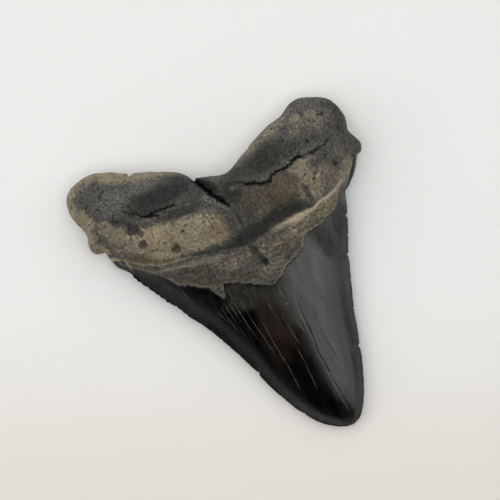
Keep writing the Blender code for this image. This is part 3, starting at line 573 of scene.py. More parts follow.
def nearest(points, line, closed=False):
    """Distance from each point to a finely drawn line, and how far along the line that place is."""
    count = len(line)
    tree = KDTree(count)
    for number, (x, y) in enumerate(line):
        tree.insert((x, y, 0.0), number)
    tree.balance()
    index = np.array([tree.find((x, y, 0.0))[1] for x, y in points])
    steps = np.hypot(*(np.roll(line, -1, axis=0) - line).T)
    run = np.concatenate([[0.0], np.cumsum(steps)])
    best, place = np.full(len(points), np.inf), np.zeros(len(points))
    for start in (index - 1, index):
        start = start % count if closed else np.clip(start, 0, count - 2)
        along = line[(start + 1) % count] - line[start]
        gap = points - line[start]
        length = np.maximum((along * along).sum(axis=1), NEAR_NOTHING**2)
        share = np.clip((gap * along).sum(axis=1) / length, 0.0, 1.0)
        away = np.hypot(*(gap - share[:, None] * along).T)
        place = np.where(away < best, run[start] + share * steps[start], place)
        best = np.minimum(best, away)
    return best, place


def line_distance(points, line, closed=False):
    return nearest(points, line, closed)[0]


def height_on_line(x, line):
    return np.interp(x, line[:, 0], line[:, 1])


def above_line(points, line):
    """Distance to a line that runs from left to right, positive on its root side."""
    side = np.where(points[:, 1] >= height_on_line(points[:, 0], line), 1.0, -1.0)
    return side * line_distance(points, line)


def inside_ring(points, ring):
    """True for the points that the ring goes round, by counting crossings to the right."""
    inside = np.zeros(len(points), bool)
    for (x0, y0), (x1, y1) in zip(ring, np.roll(ring, -1, axis=0)):
        if y0 != y1:
            crosses = (y0 > points[:, 1]) != (y1 > points[:, 1])
            inside ^= crosses & (points[:, 0] < x0 + (points[:, 1] - y0) * (x1 - x0) / (y1 - y0))
    return inside


def rising(line):
    """The same line with its x never falling, so that each x has one height."""
    x = np.maximum.accumulate(line[:, 0] + np.arange(len(line)) * LEAST_X_STEP)
    return np.column_stack([x, line[:, 1]])


def relaxed(line):
    """The line with its small bends evened out, between its own ends."""
    for _ in range(EVENING_PASSES):
        line = np.vstack([line[:1], 0.25 * (line[:-2] + 2.0 * line[1:-1] + line[2:]), line[-1:]])
    return line


def nicked(ring):
    """The outline with its nicks pressed inwards."""
    along = np.roll(ring, -1, axis=0) - np.roll(ring, 1, axis=0)
    inward = np.column_stack([along[:, 1], -along[:, 0]]) / np.linalg.norm(along, axis=1)[:, None]
    for x, y, radius, depth in NICKS:
        away = np.hypot(ring[:, 0] - x, ring[:, 1] - y) / radius
        ring = ring + (depth * bell(away) * (away < NICK_REACH))[:, None] * inward
    return ring


def drawn_lines(settings):
    """Every line of the tooth as a fine curve, with its natural raggedness."""
    edge_step = settings.edge_spacing / MM
    enamel = smooth_line(ENAMEL_LINE, spacing=0.24, wobble=0.42, wobble_size=0.9, seed=3.0)
    lines = SimpleNamespace(
        root=smooth_line(ROOT_LINE, ROOT_SPACING, wobble=0.07, wobble_size=1.6, seed=1.0),
        right=smooth_line(RIGHT_CUTTING_EDGE, edge_step),
        left=smooth_line(LEFT_CUTTING_EDGE, edge_step),
        ledge=rising(smooth_line(LEDGE, spacing=0.5, wobble=0.22, wobble_size=1.8, seed=2.0)),
        enamel=rising(enamel),
        grooves=[
            (smooth_line(line, 0.22, 0.12 if line is CRACK else 0.38, 0.8, seed), *sizes)
            for seed, (line, *sizes) in enumerate(GROOVES)
        ],
        pale=[smooth_line(line, 0.4, 0.12, 2.5, 11.0 + n) for n, line in enumerate(PALE_LINES)],
        dark=[smooth_line(line, 0.4, 0.12, 2.5, 31.0 + n) for n, line in enumerate(DARK_LINES)],
    )
    lines.ring = nicked(np.vstack([lines.root[:-1], lines.right[:-1], lines.left[:-1]]))
    lines.right_measure = relaxed(smooth_line(RIGHT_CUTTING_EDGE, MEASURE_SPACING))
    lines.left_measure = relaxed(smooth_line(LEFT_CUTTING_EDGE, MEASURE_SPACING))
    return lines


def measure(points, lines):
    """Distances that both surfaces and the colours are worked out from."""
    left = line_distance(points, lines.left_measure)
    right = line_distance(points, lines.right_measure)
    width = np.maximum(left + right, 0.1)
    return SimpleNamespace(
        points=points,
        x=points[:, 0],
        y=points[:, 1],
        gap=line_distance(points, lines.ring, closed=True),
        width=width,
        across=(left - right) / width,
        from_blade=np.minimum(left, right),
        from_ledge=above_line(points, lines.ledge),
        from_enamel=above_line(points, lines.enamel),
    )


def cutting_edge_height(place):
    share = np.clip((place.y - TIP_Y) / (SHOULDER_Y - TIP_Y), 0.0, 1.0)
    return TIP_EDGE_HEIGHT + (SHOULDER_EDGE_HEIGHT - TIP_EDGE_HEIGHT) * share


def edge_height(place):
    """Height of the outline: low along the cutting edges, higher round the root."""
    low = cutting_edge_height(place)
    return low + (ROOT_EDGE_HEIGHT - low) * soft_step(place.from_ledge / EDGE_CLIMB)


def edge_profile(place, rounding):
    """How far a surface has risen from the outline: sharp at the crown, rounded at the root."""
    left_over = 1.0 - np.clip(place.gap / rounding, 0.0, 1.0)
    rounded = np.sqrt(1.0 - left_over * left_over)
    sharp = np.clip(place.gap / SHARP_EDGE, 0.0, 1.0)
    return sharp + (rounded - sharp) * soft_step(place.from_ledge / EDGE_BLEND)


def lumps(points, offset):
    """Low natural unevenness of the root's surface, in mm."""
    large = noise_at(points, LUMP_SIZE, offset / LUMP_SIZE)
    small = noise_at(points, SMALL_LUMP_SIZE, offset / SMALL_LUMP_SIZE)
    return LUMP_HEIGHT * large + SMALL_LUMP_HEIGHT * small


def groove_noise(points):
    """The wandering of a groove's sides: broad swells and narrow bites, from -1 to 1."""
    return noise_at(points, GROOVE_SWELLS[0], 5.0), noise_at(points, GROOVE_BITES[0], 6.0)


def groove_unevenness(wide, narrow):
    return np.maximum(1.0 + GROOVE_SWELLS[1] * wide + GROOVE_BITES[1] * narrow, GROOVE_NARROWEST)


def cut_grooves(points, lines, wide, narrow):
    """Depth and darkness of the drawn cracks and fissures. The darkness is painted shade inside them and
    beside them.

    The first one is open where it meets the outline. The others fade out at both ends.
    """
    depth, dark = np.zeros(len(points)), np.zeros(len(points))
    for number, (line, start_width, end_width, deepest, fade, shade) in enumerate(lines.grooves):
        away, along = nearest(points, line)
        half_width = start_width + (end_width - start_width) * along / along.max()
        share = np.clip(1.0 - away / (half_width * groove_unevenness(wide, narrow)), 0.0, 1.0)
        ends = line[-1:] if number == 0 else line[[0, -1]]
        to_end = np.min([np.hypot(*(points - end).T) for end in ends], axis=0)
        reach = np.clip(GROOVE_END_SHARE + to_end / fade, 0.0, 1.0)
        depth = np.maximum(depth, deepest * share * reach)
        spread = np.clip(0.6 + 1.2 * wide + 0.8 * narrow, 0.0, 1.0)
        # Painted shade beside the groove.
        shade_halo = HALO_STRENGTH * bell(away / (HALO_WIDTH + half_width)) * spread
        inside = soft_step(GROOVE_DARK_STEEPNESS * share)
        dark = np.maximum(dark, shade * np.maximum(inside, shade_halo) * reach)
    return depth, dark


def groove_depths(points, lines):
    """Depth and darkness of the cracks, fissures, pits and pockets at each point. The darkness is
    painted shade.
    """
    wide, narrow = groove_noise(points)
    depth, dark = cut_grooves(points, lines, wide, narrow)
    ragged = 1.0 + PIT_RAGGEDNESS * narrow
    for x, y, radius, deepest in PITS:
        away = np.hypot(points[:, 0] - x, points[:, 1] - y) / (radius * ragged)
        depth = np.maximum(depth, deepest * soft_step(PIT_REACH - away))
        if radius < DARK_PIT_RADIUS:
            dark = np.maximum(dark, PIT_SHADE * soft_step(PIT_DARK_REACH - away))
    place = SimpleNamespace(x=points[:, 0], y=points[:, 1])
    pocket = patches(place, POCKETS, 0.25 * narrow + 0.15 * wide)
    return depth + POCKET_DEPTH * pocket, np.maximum(dark, POCKET_SHADE * pocket)


def crack_shelf(points, lines):
    """The surface right of the crack lies lower than on its left, and rises again further off."""
    crack = lines.grooves[0][0][::-1]
    right_of_crack = points[:, 0] > np.interp(points[:, 1], crack[:, 1], crack[:, 0])
    near = 1.0 - soft_step(line_distance(points, crack) / CRACK_SHELF_WIDTH)
    return near * soft_step((points[:, 1] - CRACK[-1][1]) / CRACK_SHELF_FADE) * right_of_crack


def crown_top(place):
    """The crown's inner face, with a slightly hollow band along both cutting edges."""
    near_root = soft_step((place.y - ROUNDNESS_START_Y) / ROUNDNESS_REACH)
    roundness = TIP_ROUNDNESS + (ROOT_ROUNDNESS - TIP_ROUNDNESS) * near_root
    swell = INNER_BULGE * place.width**BULGE_POWER * (1.0 - np.abs(place.across) ** roundness)
    from_tip = place.y - TIP_Y
    widened = soft_step(from_tip / BEVEL_WIDTH_REACH)
    bevel = BEVEL_TIP_WIDTH + (BEVEL_WIDTH - BEVEL_TIP_WIDTH) * widened
    band = np.clip(place.from_blade / bevel, 0.0, 1.0)
    deepened = soft_step(from_tip / BEVEL_HOLLOW_REACH)
    depth = BEVEL_TIP_HOLLOW + (BEVEL_HOLLOW - BEVEL_TIP_HOLLOW) * deepened
    hollow = depth * HOLLOW_PEAK * band * (1.0 - band) ** 2
    return cutting_edge_height(place) + np.maximum(swell - hollow, 0.0)


def root_top(place, ledge_height):
    """The root's inner face: a steep rise from the ledge to a broad crest, then the lobes."""
    crest_y = CREST_Y + CREST_BEND * place.x**2
    crest = ROOT_HEIGHT - ROOT_END_DROP * (place.x / ROOT_HALF_WIDTH) ** 2
    past = np.maximum(place.y - crest_y, 0.0)
    high = crest - BACK_SLOPE * past - BACK_BEND * past * past
    for x, y, reach_x, reach_y, height in SWELLS:
        high = high + height * bell(np.hypot((place.x - x) / reach_x, (place.y - y) / reach_y))
    reach = ROOT_RISE + ROOT_END_RISE * (place.x / ROOT_HALF_WIDTH) ** 2
    rise = 1.0 - (1.0 - np.clip(place.from_ledge / reach, 0.0, 1.0)) ** 2.0
    return ledge_height + (high - ledge_height) * rise


def middle_of_root(place):
    return 1.0 - soft_step((np.abs(place.x) - MIDDLE_HALF_WIDTH) / MIDDLE_FADE)


def fine_lines(points, lines):
    """How much each point lies on a pale and on a dark crack of the enamel."""
    shares = []
    strength = np.clip(0.70 + 0.8 * noise_at(points, 2.2, 9.0), 0.2, 1.0)
    for group, half_width in ((lines.pale, LINE_HALF_WIDTH), (lines.dark, DARK_LINE_HALF_WIDTH)):
        share = np.zeros(len(points))
        for line in group:
            near = np.clip(1.0 - line_distance(points, line) / half_width, 0.0, 1.0)
            ends = np.min([np.hypot(*(points - end).T) for end in line[[0, -1]]], axis=0)
            share = np.maximum(share, near * np.clip(ends / LINE_FADE, 0.0, 1.0) * strength)
        shares.append(share)
    return shares


def top_height(place, carve, shelf, line_depths):
    middle = middle_of_root(place)
    layer = LAYER_STEP * soft_step(place.from_enamel / LAYER_RAMP + 0.5)
    lip = LIP_HEIGHT * bell((place.from_ledge + LIP_FROM_LEDGE) / LIP_WIDTH) * middle
    valley = VALLEY_DEPTH * bell(place.from_ledge / VALLEY_WIDTH) * middle
    low = crown_top(place) + layer + lip - valley
    body = np.where(place.from_ledge > 0.0, root_top(place, low), low)
    uneven = soft_step(place.from_enamel / LUMP_FADE_AT_ENAMEL)
    uneven = uneven * soft_step(place.gap / LUMP_FADE_AT_OUTLINE)
    body = body + lumps(place.points, 0.0) * uneven - CRACK_SHELF_DROP * shelf
    edge = edge_height(place)
    high = edge + (body - edge) * edge_profile(place, ROOT_TOP_ROUNDING)
    carve = carve * np.clip(place.gap / GROOVE_FADE_AT_OUTLINE, 0.0, 1.0)
    return np.where(place.gap > NEAR_NOTHING, high - carve - line_depths, edge)


def outer_enamel_y(x):
    """Height in the plan of the enamel's upper edge on the underside."""
    places = np.atleast_1d(x) / OUTER_ENAMEL_WANDER_SIZE
    ragged = np.array([OUTER_ENAMEL_WANDER * noise.noise((v, 3.0, 0.0)) for v in places])
    return OUTER_ENAMEL_CENTRE_Y + OUTER_ENAMEL_BEND * np.asarray(x) ** 2 + ragged


def under_height(place):
    swell = OUTER_BULGE * place.width**BULGE_POWER * (1.0 - place.across**2)
    arch = ARCH_RISE * np.maximum(place.y - ARCH_START_Y, 0.0) ** 2
    body = cutting_edge_height(place) - swell + arch
    near_ledge = 1.0 - soft_step(place.from_ledge / LOBE_RISE_REACH)
    for centre in LOBE_CENTRES:
        away = np.hypot(place.x - centre[0], place.y - centre[1])
        lobe = LOBE_BULGE * away * away - FLAT_SINK + LOBE_RISE_TO_LEDGE * near_ledge
        body = soft_min(body, lobe, LOBE_BLEND)
    on_root = soft_step((place.y - outer_enamel_y(place.x)) / LAYER_RAMP)
    body = body + (OUTER_LAYER_STEP + lumps(place.points, OUTER_LUMP_OFFSET)) * on_root
    edge = edge_height(place)
    low = np.maximum(edge + (body - edge) * edge_profile(place, ROOT_UNDER_ROUNDING), 0.0)
    return np.where(place.gap > NEAR_NOTHING, low, edge)


def rows_inside(lines):
    """Rows of points that follow the outline a little way inside it."""
    ring = lines.ring
    along = np.roll(ring, -1, axis=0) - np.roll(ring, 1, axis=0)
    inward = np.column_stack([along[:, 1], -along[:, 0]])
    inward /= np.linalg.norm(inward, axis=1)[:, None]
    rows = []
    for number, step in enumerate(EDGE_ROWS):
        keep = 1 + number // 3
        row = (ring + step * inward)[::keep]
        clear = line_distance(row, ring, closed=True) > ROW_CLEARANCE * step
        rows.append(row[clear & inside_ring(row, ring)])
    return np.vstack(rows)


def lattice(ring, spacing):
    """A grid of equilateral triangles inside the ring, clear of its edge rows."""
    low, high = ring.min(axis=0), ring.max(axis=0)
    rows = np.arange(low[1], high[1], spacing * math.sqrt(0.75))
    x, y = np.meshgrid(np.arange(low[0], high[0], spacing), rows)
    x[1::2] += 0.5 * spacing
    grid = np.column_stack([x.ravel(), y.ravel()])
    grid = grid[inside_ring(grid, ring[::4])]
    clearance = EDGE_ROWS[-1] + LATTICE_CLEARANCE * spacing
    return grid[line_distance(grid, ring, closed=True) > clearance]


def near_lines(points, constraints, clearance):
    near = np.zeros(len(points), bool)
    for line in constraints:
        low, high = line.min(axis=0) - clearance, line.max(axis=0) + clearance
        close = np.flatnonzero(((points > low) & (points < high)).all(axis=1))
        near[close[line_distance(points[close], line) < clearance]] = True
    return near


def sheet(lines, constraints, spacing):
    """Triangles that fill the outline and follow the lines: points, faces, outline numbers."""
    ring = lines.ring
    count = len(ring)
    free = np.vstack([rows_inside(lines), lattice(ring, spacing)])
    free = free[~near_lines(free, constraints, LATTICE_CLEARANCE * spacing)]
    points = [Vector(point) for point in np.vstack([ring, free])]
    edges = [(number, (number + 1) % count) for number in range(count)]
    for line in constraints:
        edges += [(len(points) + n, len(points) + n + 1) for n in range(len(line) - 1)]
        points += [Vector(point) for point in line]
    places, _, faces, sources = delaunay_2d_cdt(points, edges, [], 1, CDT_TOLERANCE)[:4]
    on_outline = np.array([min(source, default=count) for source in sources])
    return np.array([tuple(place) for place in places]), faces, on_outline


def runs_inside(line, ring, clearance):
    """The runs of a line that lie well inside the outline."""
    clear = inside_ring(line, ring) & (line_distance(line, ring, closed=True) > clearance)
    breaks = np.flatnonzero(np.diff(clear.astype(int))) + 1
    runs = [run for run in np.split(np.arange(len(line)), breaks) if clear[run[0]]]
    return [line[run] for run in runs if len(run) > 2]


def beside(line, offset):
    along = np.gradient(line, axis=0)
    across = np.column_stack([-along[:, 1], along[:, 0]])
    return line + offset * across / np.linalg.norm(across, axis=1)[:, None]


def groove_walls(line, start_width, end_width):
    """The two sides of a groove, as wide as its depth makes it at each place."""
    half_width = np.linspace(start_width, end_width, len(line))
    half_width = half_width * groove_unevenness(*groove_noise(line))
    return [beside(line, side * half_width[:, None]) for side in (-1.0, 1.0)]


def top_constraints(lines):
    """The curves that the top's triangles follow."""
    drawn = [lines.enamel, lines.ledge]
    for line, start_width, end_width, *_ in lines.grooves:
        drawn += [line, *groove_walls(line, start_width, end_width)]
    for group, half_width in ((lines.pale, LINE_HALF_WIDTH), (lines.dark, DARK_LINE_HALF_WIDTH)):
        for line in group:
            drawn += [line, beside(line, half_width), beside(line, -half_width)]
    return [run for line in drawn for run in runs_inside(line, lines.ring, TOP_LINE_CLEARANCE)]


def under_constraints(lines):
    """The enamel's edge on the underside."""
    x = np.arange(-40.0, 42.0, UNDER_LINE_STEP)
    line = np.column_stack([x, outer_enamel_y(x)])
    return runs_inside(line, lines.ring, UNDER_LINE_CLEARANCE)


def patches(place, spots, wander, softness=1.0):
    """Soft blots, their edges shifted by the wander and this share of their size wide."""
    total = np.zeros(len(place.x))
    for x, y, along, across, turn, strength in spots:
        turn = math.radians(turn)
        dx, dy = place.x - x, place.y - y
        u = (dx * math.cos(turn) + dy * math.sin(turn)) / along
        v = (dy * math.cos(turn) - dx * math.sin(turn)) / across
        inside = (1.0 - np.hypot(u, v) + wander) / softness + BLOT_EDGE
        total = np.maximum(total, strength * soft_step(inside))
    return total


def broken(place, mask, size, raggedness, seed):
    """A mask whose soft edge is broken up by noise of that size."""
    grain = noise_at(place.points, size, seed)
    grain = grain + 0.5 * noise_at(place.points, 0.4 * size, seed + 3.0)
    return np.clip(mask + raggedness * grain * 4.0 * mask * (1.0 - mask), 0.0, 1.0)


def painted_shade_above_ledge(place, wander):
    """Painted shade on the root's slope just above the ledge, widest at the middle of the tooth."""
    middle = 1.0 - soft_step((np.abs(place.x - 9.0) - 9.5) / 6.0)
    width = 0.6 + 2.1 * middle
    share = bell((place.from_ledge - 0.9 * width) / width) * (0.6 + 0.4 * middle)
    share = share * soft_step((28.0 - place.x) / 7.0) * soft_step((place.x + 27.0) / 8.0)
    share = share * soft_step(place.from_ledge / 0.6 + 0.3) * (0.6 + 0.4 * middle)
    return np.clip(share * (1.0 + 0.8 * wander), 0.0, 1.0)


def ledge_rim_highlight(place, coarse):
    """The pale rim just below the ledge, a painted highlight on its lip: broad near the middle, thin at
    both ends.
    """
    right = soft_step((place.x - 6.0) / 8.0)
    left = soft_step((-15.0 - place.x) / 5.0)
    broad = 1.0 - soft_step((place.x - 10.0) / 14.0)
    centre = np.where(place.x > 0.0, -0.35 - 0.4 * broad, -0.15)
    width = np.where(place.x > 0.0, 0.42 + 0.28 * broad, 0.26)
    fading = 1.0 - 0.75 * soft_step((place.x - 32.0) / 4.0)
    strength = right * fading * (1.15 - 0.55 * broad + 0.35 * coarse)
    strength = strength + left * (0.25 + 0.45 * coarse)
    return bell((place.from_ledge - centre) / width) * strength


def enamel_rim_highlight(place, coarse):
    """The thin pale lip where the tan layer ends on the enamel, a painted highlight."""
    to_the_right = 0.4 + 0.45 * soft_step((place.x - 3.0) / 5.0)
    return bell((place.from_enamel - 0.16) / 0.18) * to_the_right * (0.25 + 0.9 * coarse)


def inner_step_shade(place, coarse):
    """A line of painted shade inside the tan layer, on the right."""
    share = bell((place.from_enamel - 1.5) / 0.4) * soft_step((place.x - 3.0) / 6.0) * 0.4
    return share * soft_step(-place.from_ledge / 0.6) * coarse


def worn_outline(place, wander):
    """Where wear has bared tan stone along the outline of both lobes."""
    left_end = soft_step((-35.0 - place.x) / 5.0) * soft_step((place.y - 26.0) / 6.0)
    left_top = soft_step((place.y - 39.0) / 3.0) * soft_step((-5.0 - place.x) / 6.0)
    right_top = 0.55 * soft_step((place.x - 6.0) / 6.0) * soft_step((27.0 - place.x) / 6.0)
    right_top = right_top * soft_step((place.y - 33.0) / 3.0)
    where = np.maximum(np.maximum(left_end, left_top), right_top)
    return soft_step((3.6 - place.gap) / 2.8 + wander) * where


def dull_enamel(place, wander):
    """Enamel that has lost its polish: along its edges, more so near the tip, and in patches."""
    near_tip = 1.0 - soft_step((place.y - TIP_Y) / DULL_TIP_REACH)
    width = DULL_EDGE_WIDTH + DULL_TIP_WIDTH * near_tip
    edge = DULL_EDGE_SHARE * soft_step(1.0 - place.gap / width + 0.5 * wander)
    return np.maximum(patches(place, DULL_ENAMEL, wander), edge)


def top_marks(place, crack_shade, pale_line, dark_line):
    """Where each pigment, rim and line of the inner face lies, from 0 to 1, with painted shade and
    painted highlights among them.
    """
    wander = 0.3 * noise_at(place.points, 2.6, 21.0) + 0.25 * noise_at(place.points, 0.9, 22.0)
    coarse = 0.5 + 0.7 * noise_at(place.points, 2.0, 23.0)
    tan = np.maximum(patches(place, TAN_PATCHES, wander), 0.85 * worn_outline(place, wander))
    pale = patches(place, PALE_PATCHES, wander) + ledge_rim_highlight(place, coarse)
    pale_line = np.maximum(pale_line, patches(place, CHIPS, wander))
    return {
        "tan": broken(place, tan, 0.8, 0.8, 24.0),
        "warm": patches(place, WARM_PATCHES, wander),
        "olive": patches(place, OLIVE_PATCHES, wander),
        # Painted shade in hollows, creases and above the ledge, and dark stains.
        "dark": np.maximum.reduce([
            patches(place, SHADE_AND_DARK_PATCHES, 0.5 * wander),
            painted_shade_above_ledge(place, wander),
            patches(place, STAINS, 1.3 * wander, 0.45),
        ]),
        "crumb": patches(place, CRUMB_PATCHES, wander),
        # Pale dust, and painted highlights on the rims of the ledge and the enamel.
        "pale": np.clip(pale + enamel_rim_highlight(place, coarse), 0.0, 1.0),
        # Painted shade in the cracks, fissures, pits and pockets, and a painted shade line inside the
        # tan layer.
        "cut": np.clip(crack_shade + inner_step_shade(place, coarse), 0.0, 1.0),
        "band": soft_step(-place.from_ledge / 0.8 + 0.4),
        "fibre": soft_step(place.from_ledge / 3.0) * soft_step((31.0 - place.y) / 4.0),
        "pale_line": pale_line,
        "dark_line": np.maximum(dark_line, dull_enamel(place, wander) * (1.0 - pale_line)),
        "brown": patches(place, BROWN_ENAMEL, 0.3 * wander),
        "grey": patches(place, GREY_ENAMEL_AND_SHEEN, wander),
        "film": patches(place, FILM, 0.3 * wander),
    }


def under_marks(place):
    """The outer face in the same pigments: tan blots on grey stone, a pale rim that is a painted
    highlight, and a line of painted shade above it.
    """
    blots = 0.5 + 1.6 * noise_at(place.points, 11.0, 41.0) + 0.5 * noise_at(place.points, 3.0, 42.0)
    from_line = place.y - outer_enamel_y(place.x)
    nothing = np.zeros(len(place.x))
    return {
        "tan": 0.8 * soft_step(blots),
        "warm": 0.5 * soft_step(2.0 * noise_at(place.points, 9.0, 43.0)),
        "olive": nothing,
        "crumb": 0.6 * soft_step(2.0 * noise_at(place.points, 5.0, 45.0)),
        "dark": soft_step(1.8 * noise_at(place.points, 7.0, 44.0) - 0.2),
        "pale": 0.9 * bell((from_line - 0.3) / 0.4),
        "cut": 0.8 * bell((from_line - 1.6) / 0.5),
        "band": nothing,
        "fibre": soft_step(from_line / 3.0),
        "pale_line": nothing,
        "dark_line": nothing,
        "brown": nothing,
        "grey": 0.5 * soft_step((from_line + 8.0) / 6.0),
        "film": nothing,
    }


def edge_marks(place, lines):
    """What the serrations need: place along the cutting edge, distance from it and the way out."""
    run = np.zeros(len(place.x))
    gap = np.full(len(place.x), FAR_AWAY)
    out = np.zeros((len(place.x), 3))
    start = 0.0
    for line in (lines.right, lines.left):
        near = np.flatnonzero(line_distance(place.points, line[::6]) < EDGE_REACH)
        away, along = nearest(place.points[near], line)
        closer = away < gap[near]
        rows, away, along = near[closer], away[closer], along[closer]
        total = np.hypot(*np.diff(line, axis=0).T).sum()
        steps = np.linspace(0.0, total, len(line))
        turn = np.gradient(line, axis=0)
        outward = np.column_stack([-turn[:, 1], turn[:, 0]])
        outward /= np.linalg.norm(turn, axis=1)[:, None]
        for axis in (0, 1):
            out[rows, axis] = np.interp(along, steps, outward[:, axis])
        run[rows], gap[rows] = start + along, away
        start += total
    shoulder = soft_step((SERRATION_TOP_Y - place.y) / SERRATION_FADE)
    return run, gap, out, shoulder


def top_sheet(lines, spacing):
    points, faces, on_outline = sheet(lines, top_constraints(lines), spacing)
    place = measure(points, lines)
    carve, crack_shade = groove_depths(points, lines)
    pale_line, dark_line = fine_lines(points, lines)
    line_depths = LINE_DEPTH * pale_line + DARK_LINE_DEPTH * dark_line
    high = top_height(place, carve, crack_shelf(points, lines), line_depths)
    marks = top_marks(place, crack_shade, pale_line, dark_line)
    return SimpleNamespace(
        place=place, high=high, faces=faces, on_outline=on_outline, marks=marks,
        stone_side=place.from_enamel,
    )


def under_sheet(lines, spacing):
    points, faces, on_outline = sheet(lines, under_constraints(lines), spacing)
    place = measure(points, lines)
    return SimpleNamespace(
        place=place, high=under_height(place), faces=faces, on_outline=on_outline,
        marks=under_marks(place), stone_side=place.y - outer_enamel_y(place.x),
    )


def joined(top, under, count):
    """Both sheets as one closed surface: corners, faces, which faces are stone, and the marks."""
    shared = {number: row for row, number in enumerate(top.on_outline) if number < count}
    fresh = under.on_outline >= count
    rows = np.empty(len(fresh), int)
    rows[fresh] = len(top.high) + np.arange(fresh.sum())
    rows[~fresh] = [shared[number] for number in under.on_outline[~fresh]]
    points = np.vstack([top.place.points, under.place.points[fresh]])
    corners = np.column_stack([points, np.concatenate([top.high, under.high[fresh]])])
    faces = [tuple(face) for face in top.faces]
    faces += [tuple(rows[list(reversed(face))]) for face in under.faces]
    stone = [top.stone_side[list(face)].mean() > 0.0 for face in top.faces]
    stone += [under.stone_side[list(face)].mean() > 0.0 for face in under.faces]
    marks = {
        name: np.concatenate([share, under.marks[name][fresh]]) for name, share in top.marks.items()
    }
    stone_side = np.concatenate([top.stone_side, under.stone_side[fresh]])
    marks["stone_share"] = soft_step(stone_side / RELIEF_RAMP)
    return corners, faces, stone, marks


def set_attribute(mesh, name, kind, values):
    field = "vector" if kind == "FLOAT_VECTOR" else "value"
    attribute = mesh.attributes.new(name, kind, "POINT")
    attribute.data.foreach_set(field, np.asarray(values, np.float32).ravel())


def tooth_mesh(settings):
    """The plain tooth, with its marks as attributes."""
    lines = drawn_lines(settings)
    top = top_sheet(lines, settings.top_spacing / MM)
    under = under_sheet(lines, settings.under_spacing / MM)
    corners, faces, stone, marks = joined(top, under, len(lines.ring))
    mesh = bpy.data.meshes.new("fossil_tooth")
    mesh.from_pydata((corners * MM).tolist(), [], faces)
    mesh.polygons.foreach_set("material_index", np.where(stone, 0, 1).astype(np.int32))
    for name, share in marks.items():
        set_attribute(mesh, name, "FLOAT", share)
    place = SimpleNamespace(points=corners[:, :2], x=corners[:, 0], y=corners[:, 1])
    run, gap, out, share = edge_marks(place, lines)
    set_attribute(mesh, "edge_run", "FLOAT", run * MM)
    set_attribute(mesh, "edge_gap", "FLOAT", gap * MM)
    set_attribute(mesh, "edge_share", "FLOAT", share)
    set_attribute(mesh, "edge_out", "FLOAT_VECTOR", out)
    mesh.shade_smooth()
    return mesh


def fill(tree, socket, value):
    if isinstance(value, bpy.types.NodeSocket):
        tree.links.new(value, socket)
    else:
        socket.default_value = value


def add(tree, kind, values=(), **settings):
    """A new node with these settings; the values are numbers or sockets by input name."""
    made = tree.nodes.new(kind)
    for name, value in settings.items():
        setattr(made, name, value)
    for name, value in dict(values).items():
        fill(tree, made.inputs[name], value)
    return made


def maths(tree, operation, *values, clamp=False):
    made = add(tree, "ShaderNodeMath", operation=operation, use_clamp=clamp)
    for socket, value in zip(made.inputs, values):
        fill(tree, socket, value)
    return made.outputs[0]


def vector_maths(tree, operation, *values, scale=None):
    made = add(tree, "ShaderNodeVectorMath", operation=operation)
    for socket, value in zip(made.inputs, values):
        fill(tree, socket, value)
    if scale is not None:
        fill(tree, made.inputs["Scale"], scale)
    return made.outputs["Vector"]


def new_group(name, kind, inputs, outputs):
    """An empty node group with named sockets, and its two end nodes."""
    tree = bpy.data.node_groups.new(name, kind)
    for direction, sockets in (("INPUT", inputs), ("OUTPUT", outputs)):
        for label, socket_type, default in sockets:
            socket = tree.interface.new_socket(label, in_out=direction, socket_type=socket_type)
            if default is not None:
                socket.default_value = default
    return tree, tree.nodes.new("NodeGroupInput").outputs, tree.nodes.new("NodeGroupOutput").inputs


NUMBER, VECTOR, COLOUR = "NodeSocketFloat", "NodeSocketVector", "NodeSocketColor"
GEOMETRY = ("Geometry", "NodeSocketGeometry", None)
MATERIAL = "NodeSocketMaterial"


def named(tree, name, kind="FLOAT"):
    made = add(tree, "GeometryNodeInputNamedAttribute", {"Name": name}, data_type=kind)
    return made.outputs["Attribute"]


def end_with_materials(tree, ends, outputs, geometry):
    """Realize Instances, then the stone and the enamel on the faces that have them."""
    geometry = add(tree, "GeometryNodeRealizeInstances", {"Geometry": geometry}).outputs[0]
    index = add(tree, "GeometryNodeInputMaterialIndex").outputs[0]
    for number, name in enumerate(("Stone", "Enamel")):
        same = add(tree, "FunctionNodeCompare", data_type="INT", operation="EQUAL")
        fill(tree, same.inputs[2], index)
        fill(tree, same.inputs[3], number)
        values = {"Geometry": geometry, "Selection": same.outputs[0], "Material": ends[name]}
        geometry = add(tree, "GeometryNodeSetMaterial", values).outputs[0]
    tree.links.new(geometry, outputs["Geometry"])


def wave_noise(tree, place, scale):
    """Noise along one number, from 0 to 1."""
    values = {"W": place, "Scale": scale}
    return add(tree, "ShaderNodeTexNoise", values, noise_dimensions="1D").outputs[0]


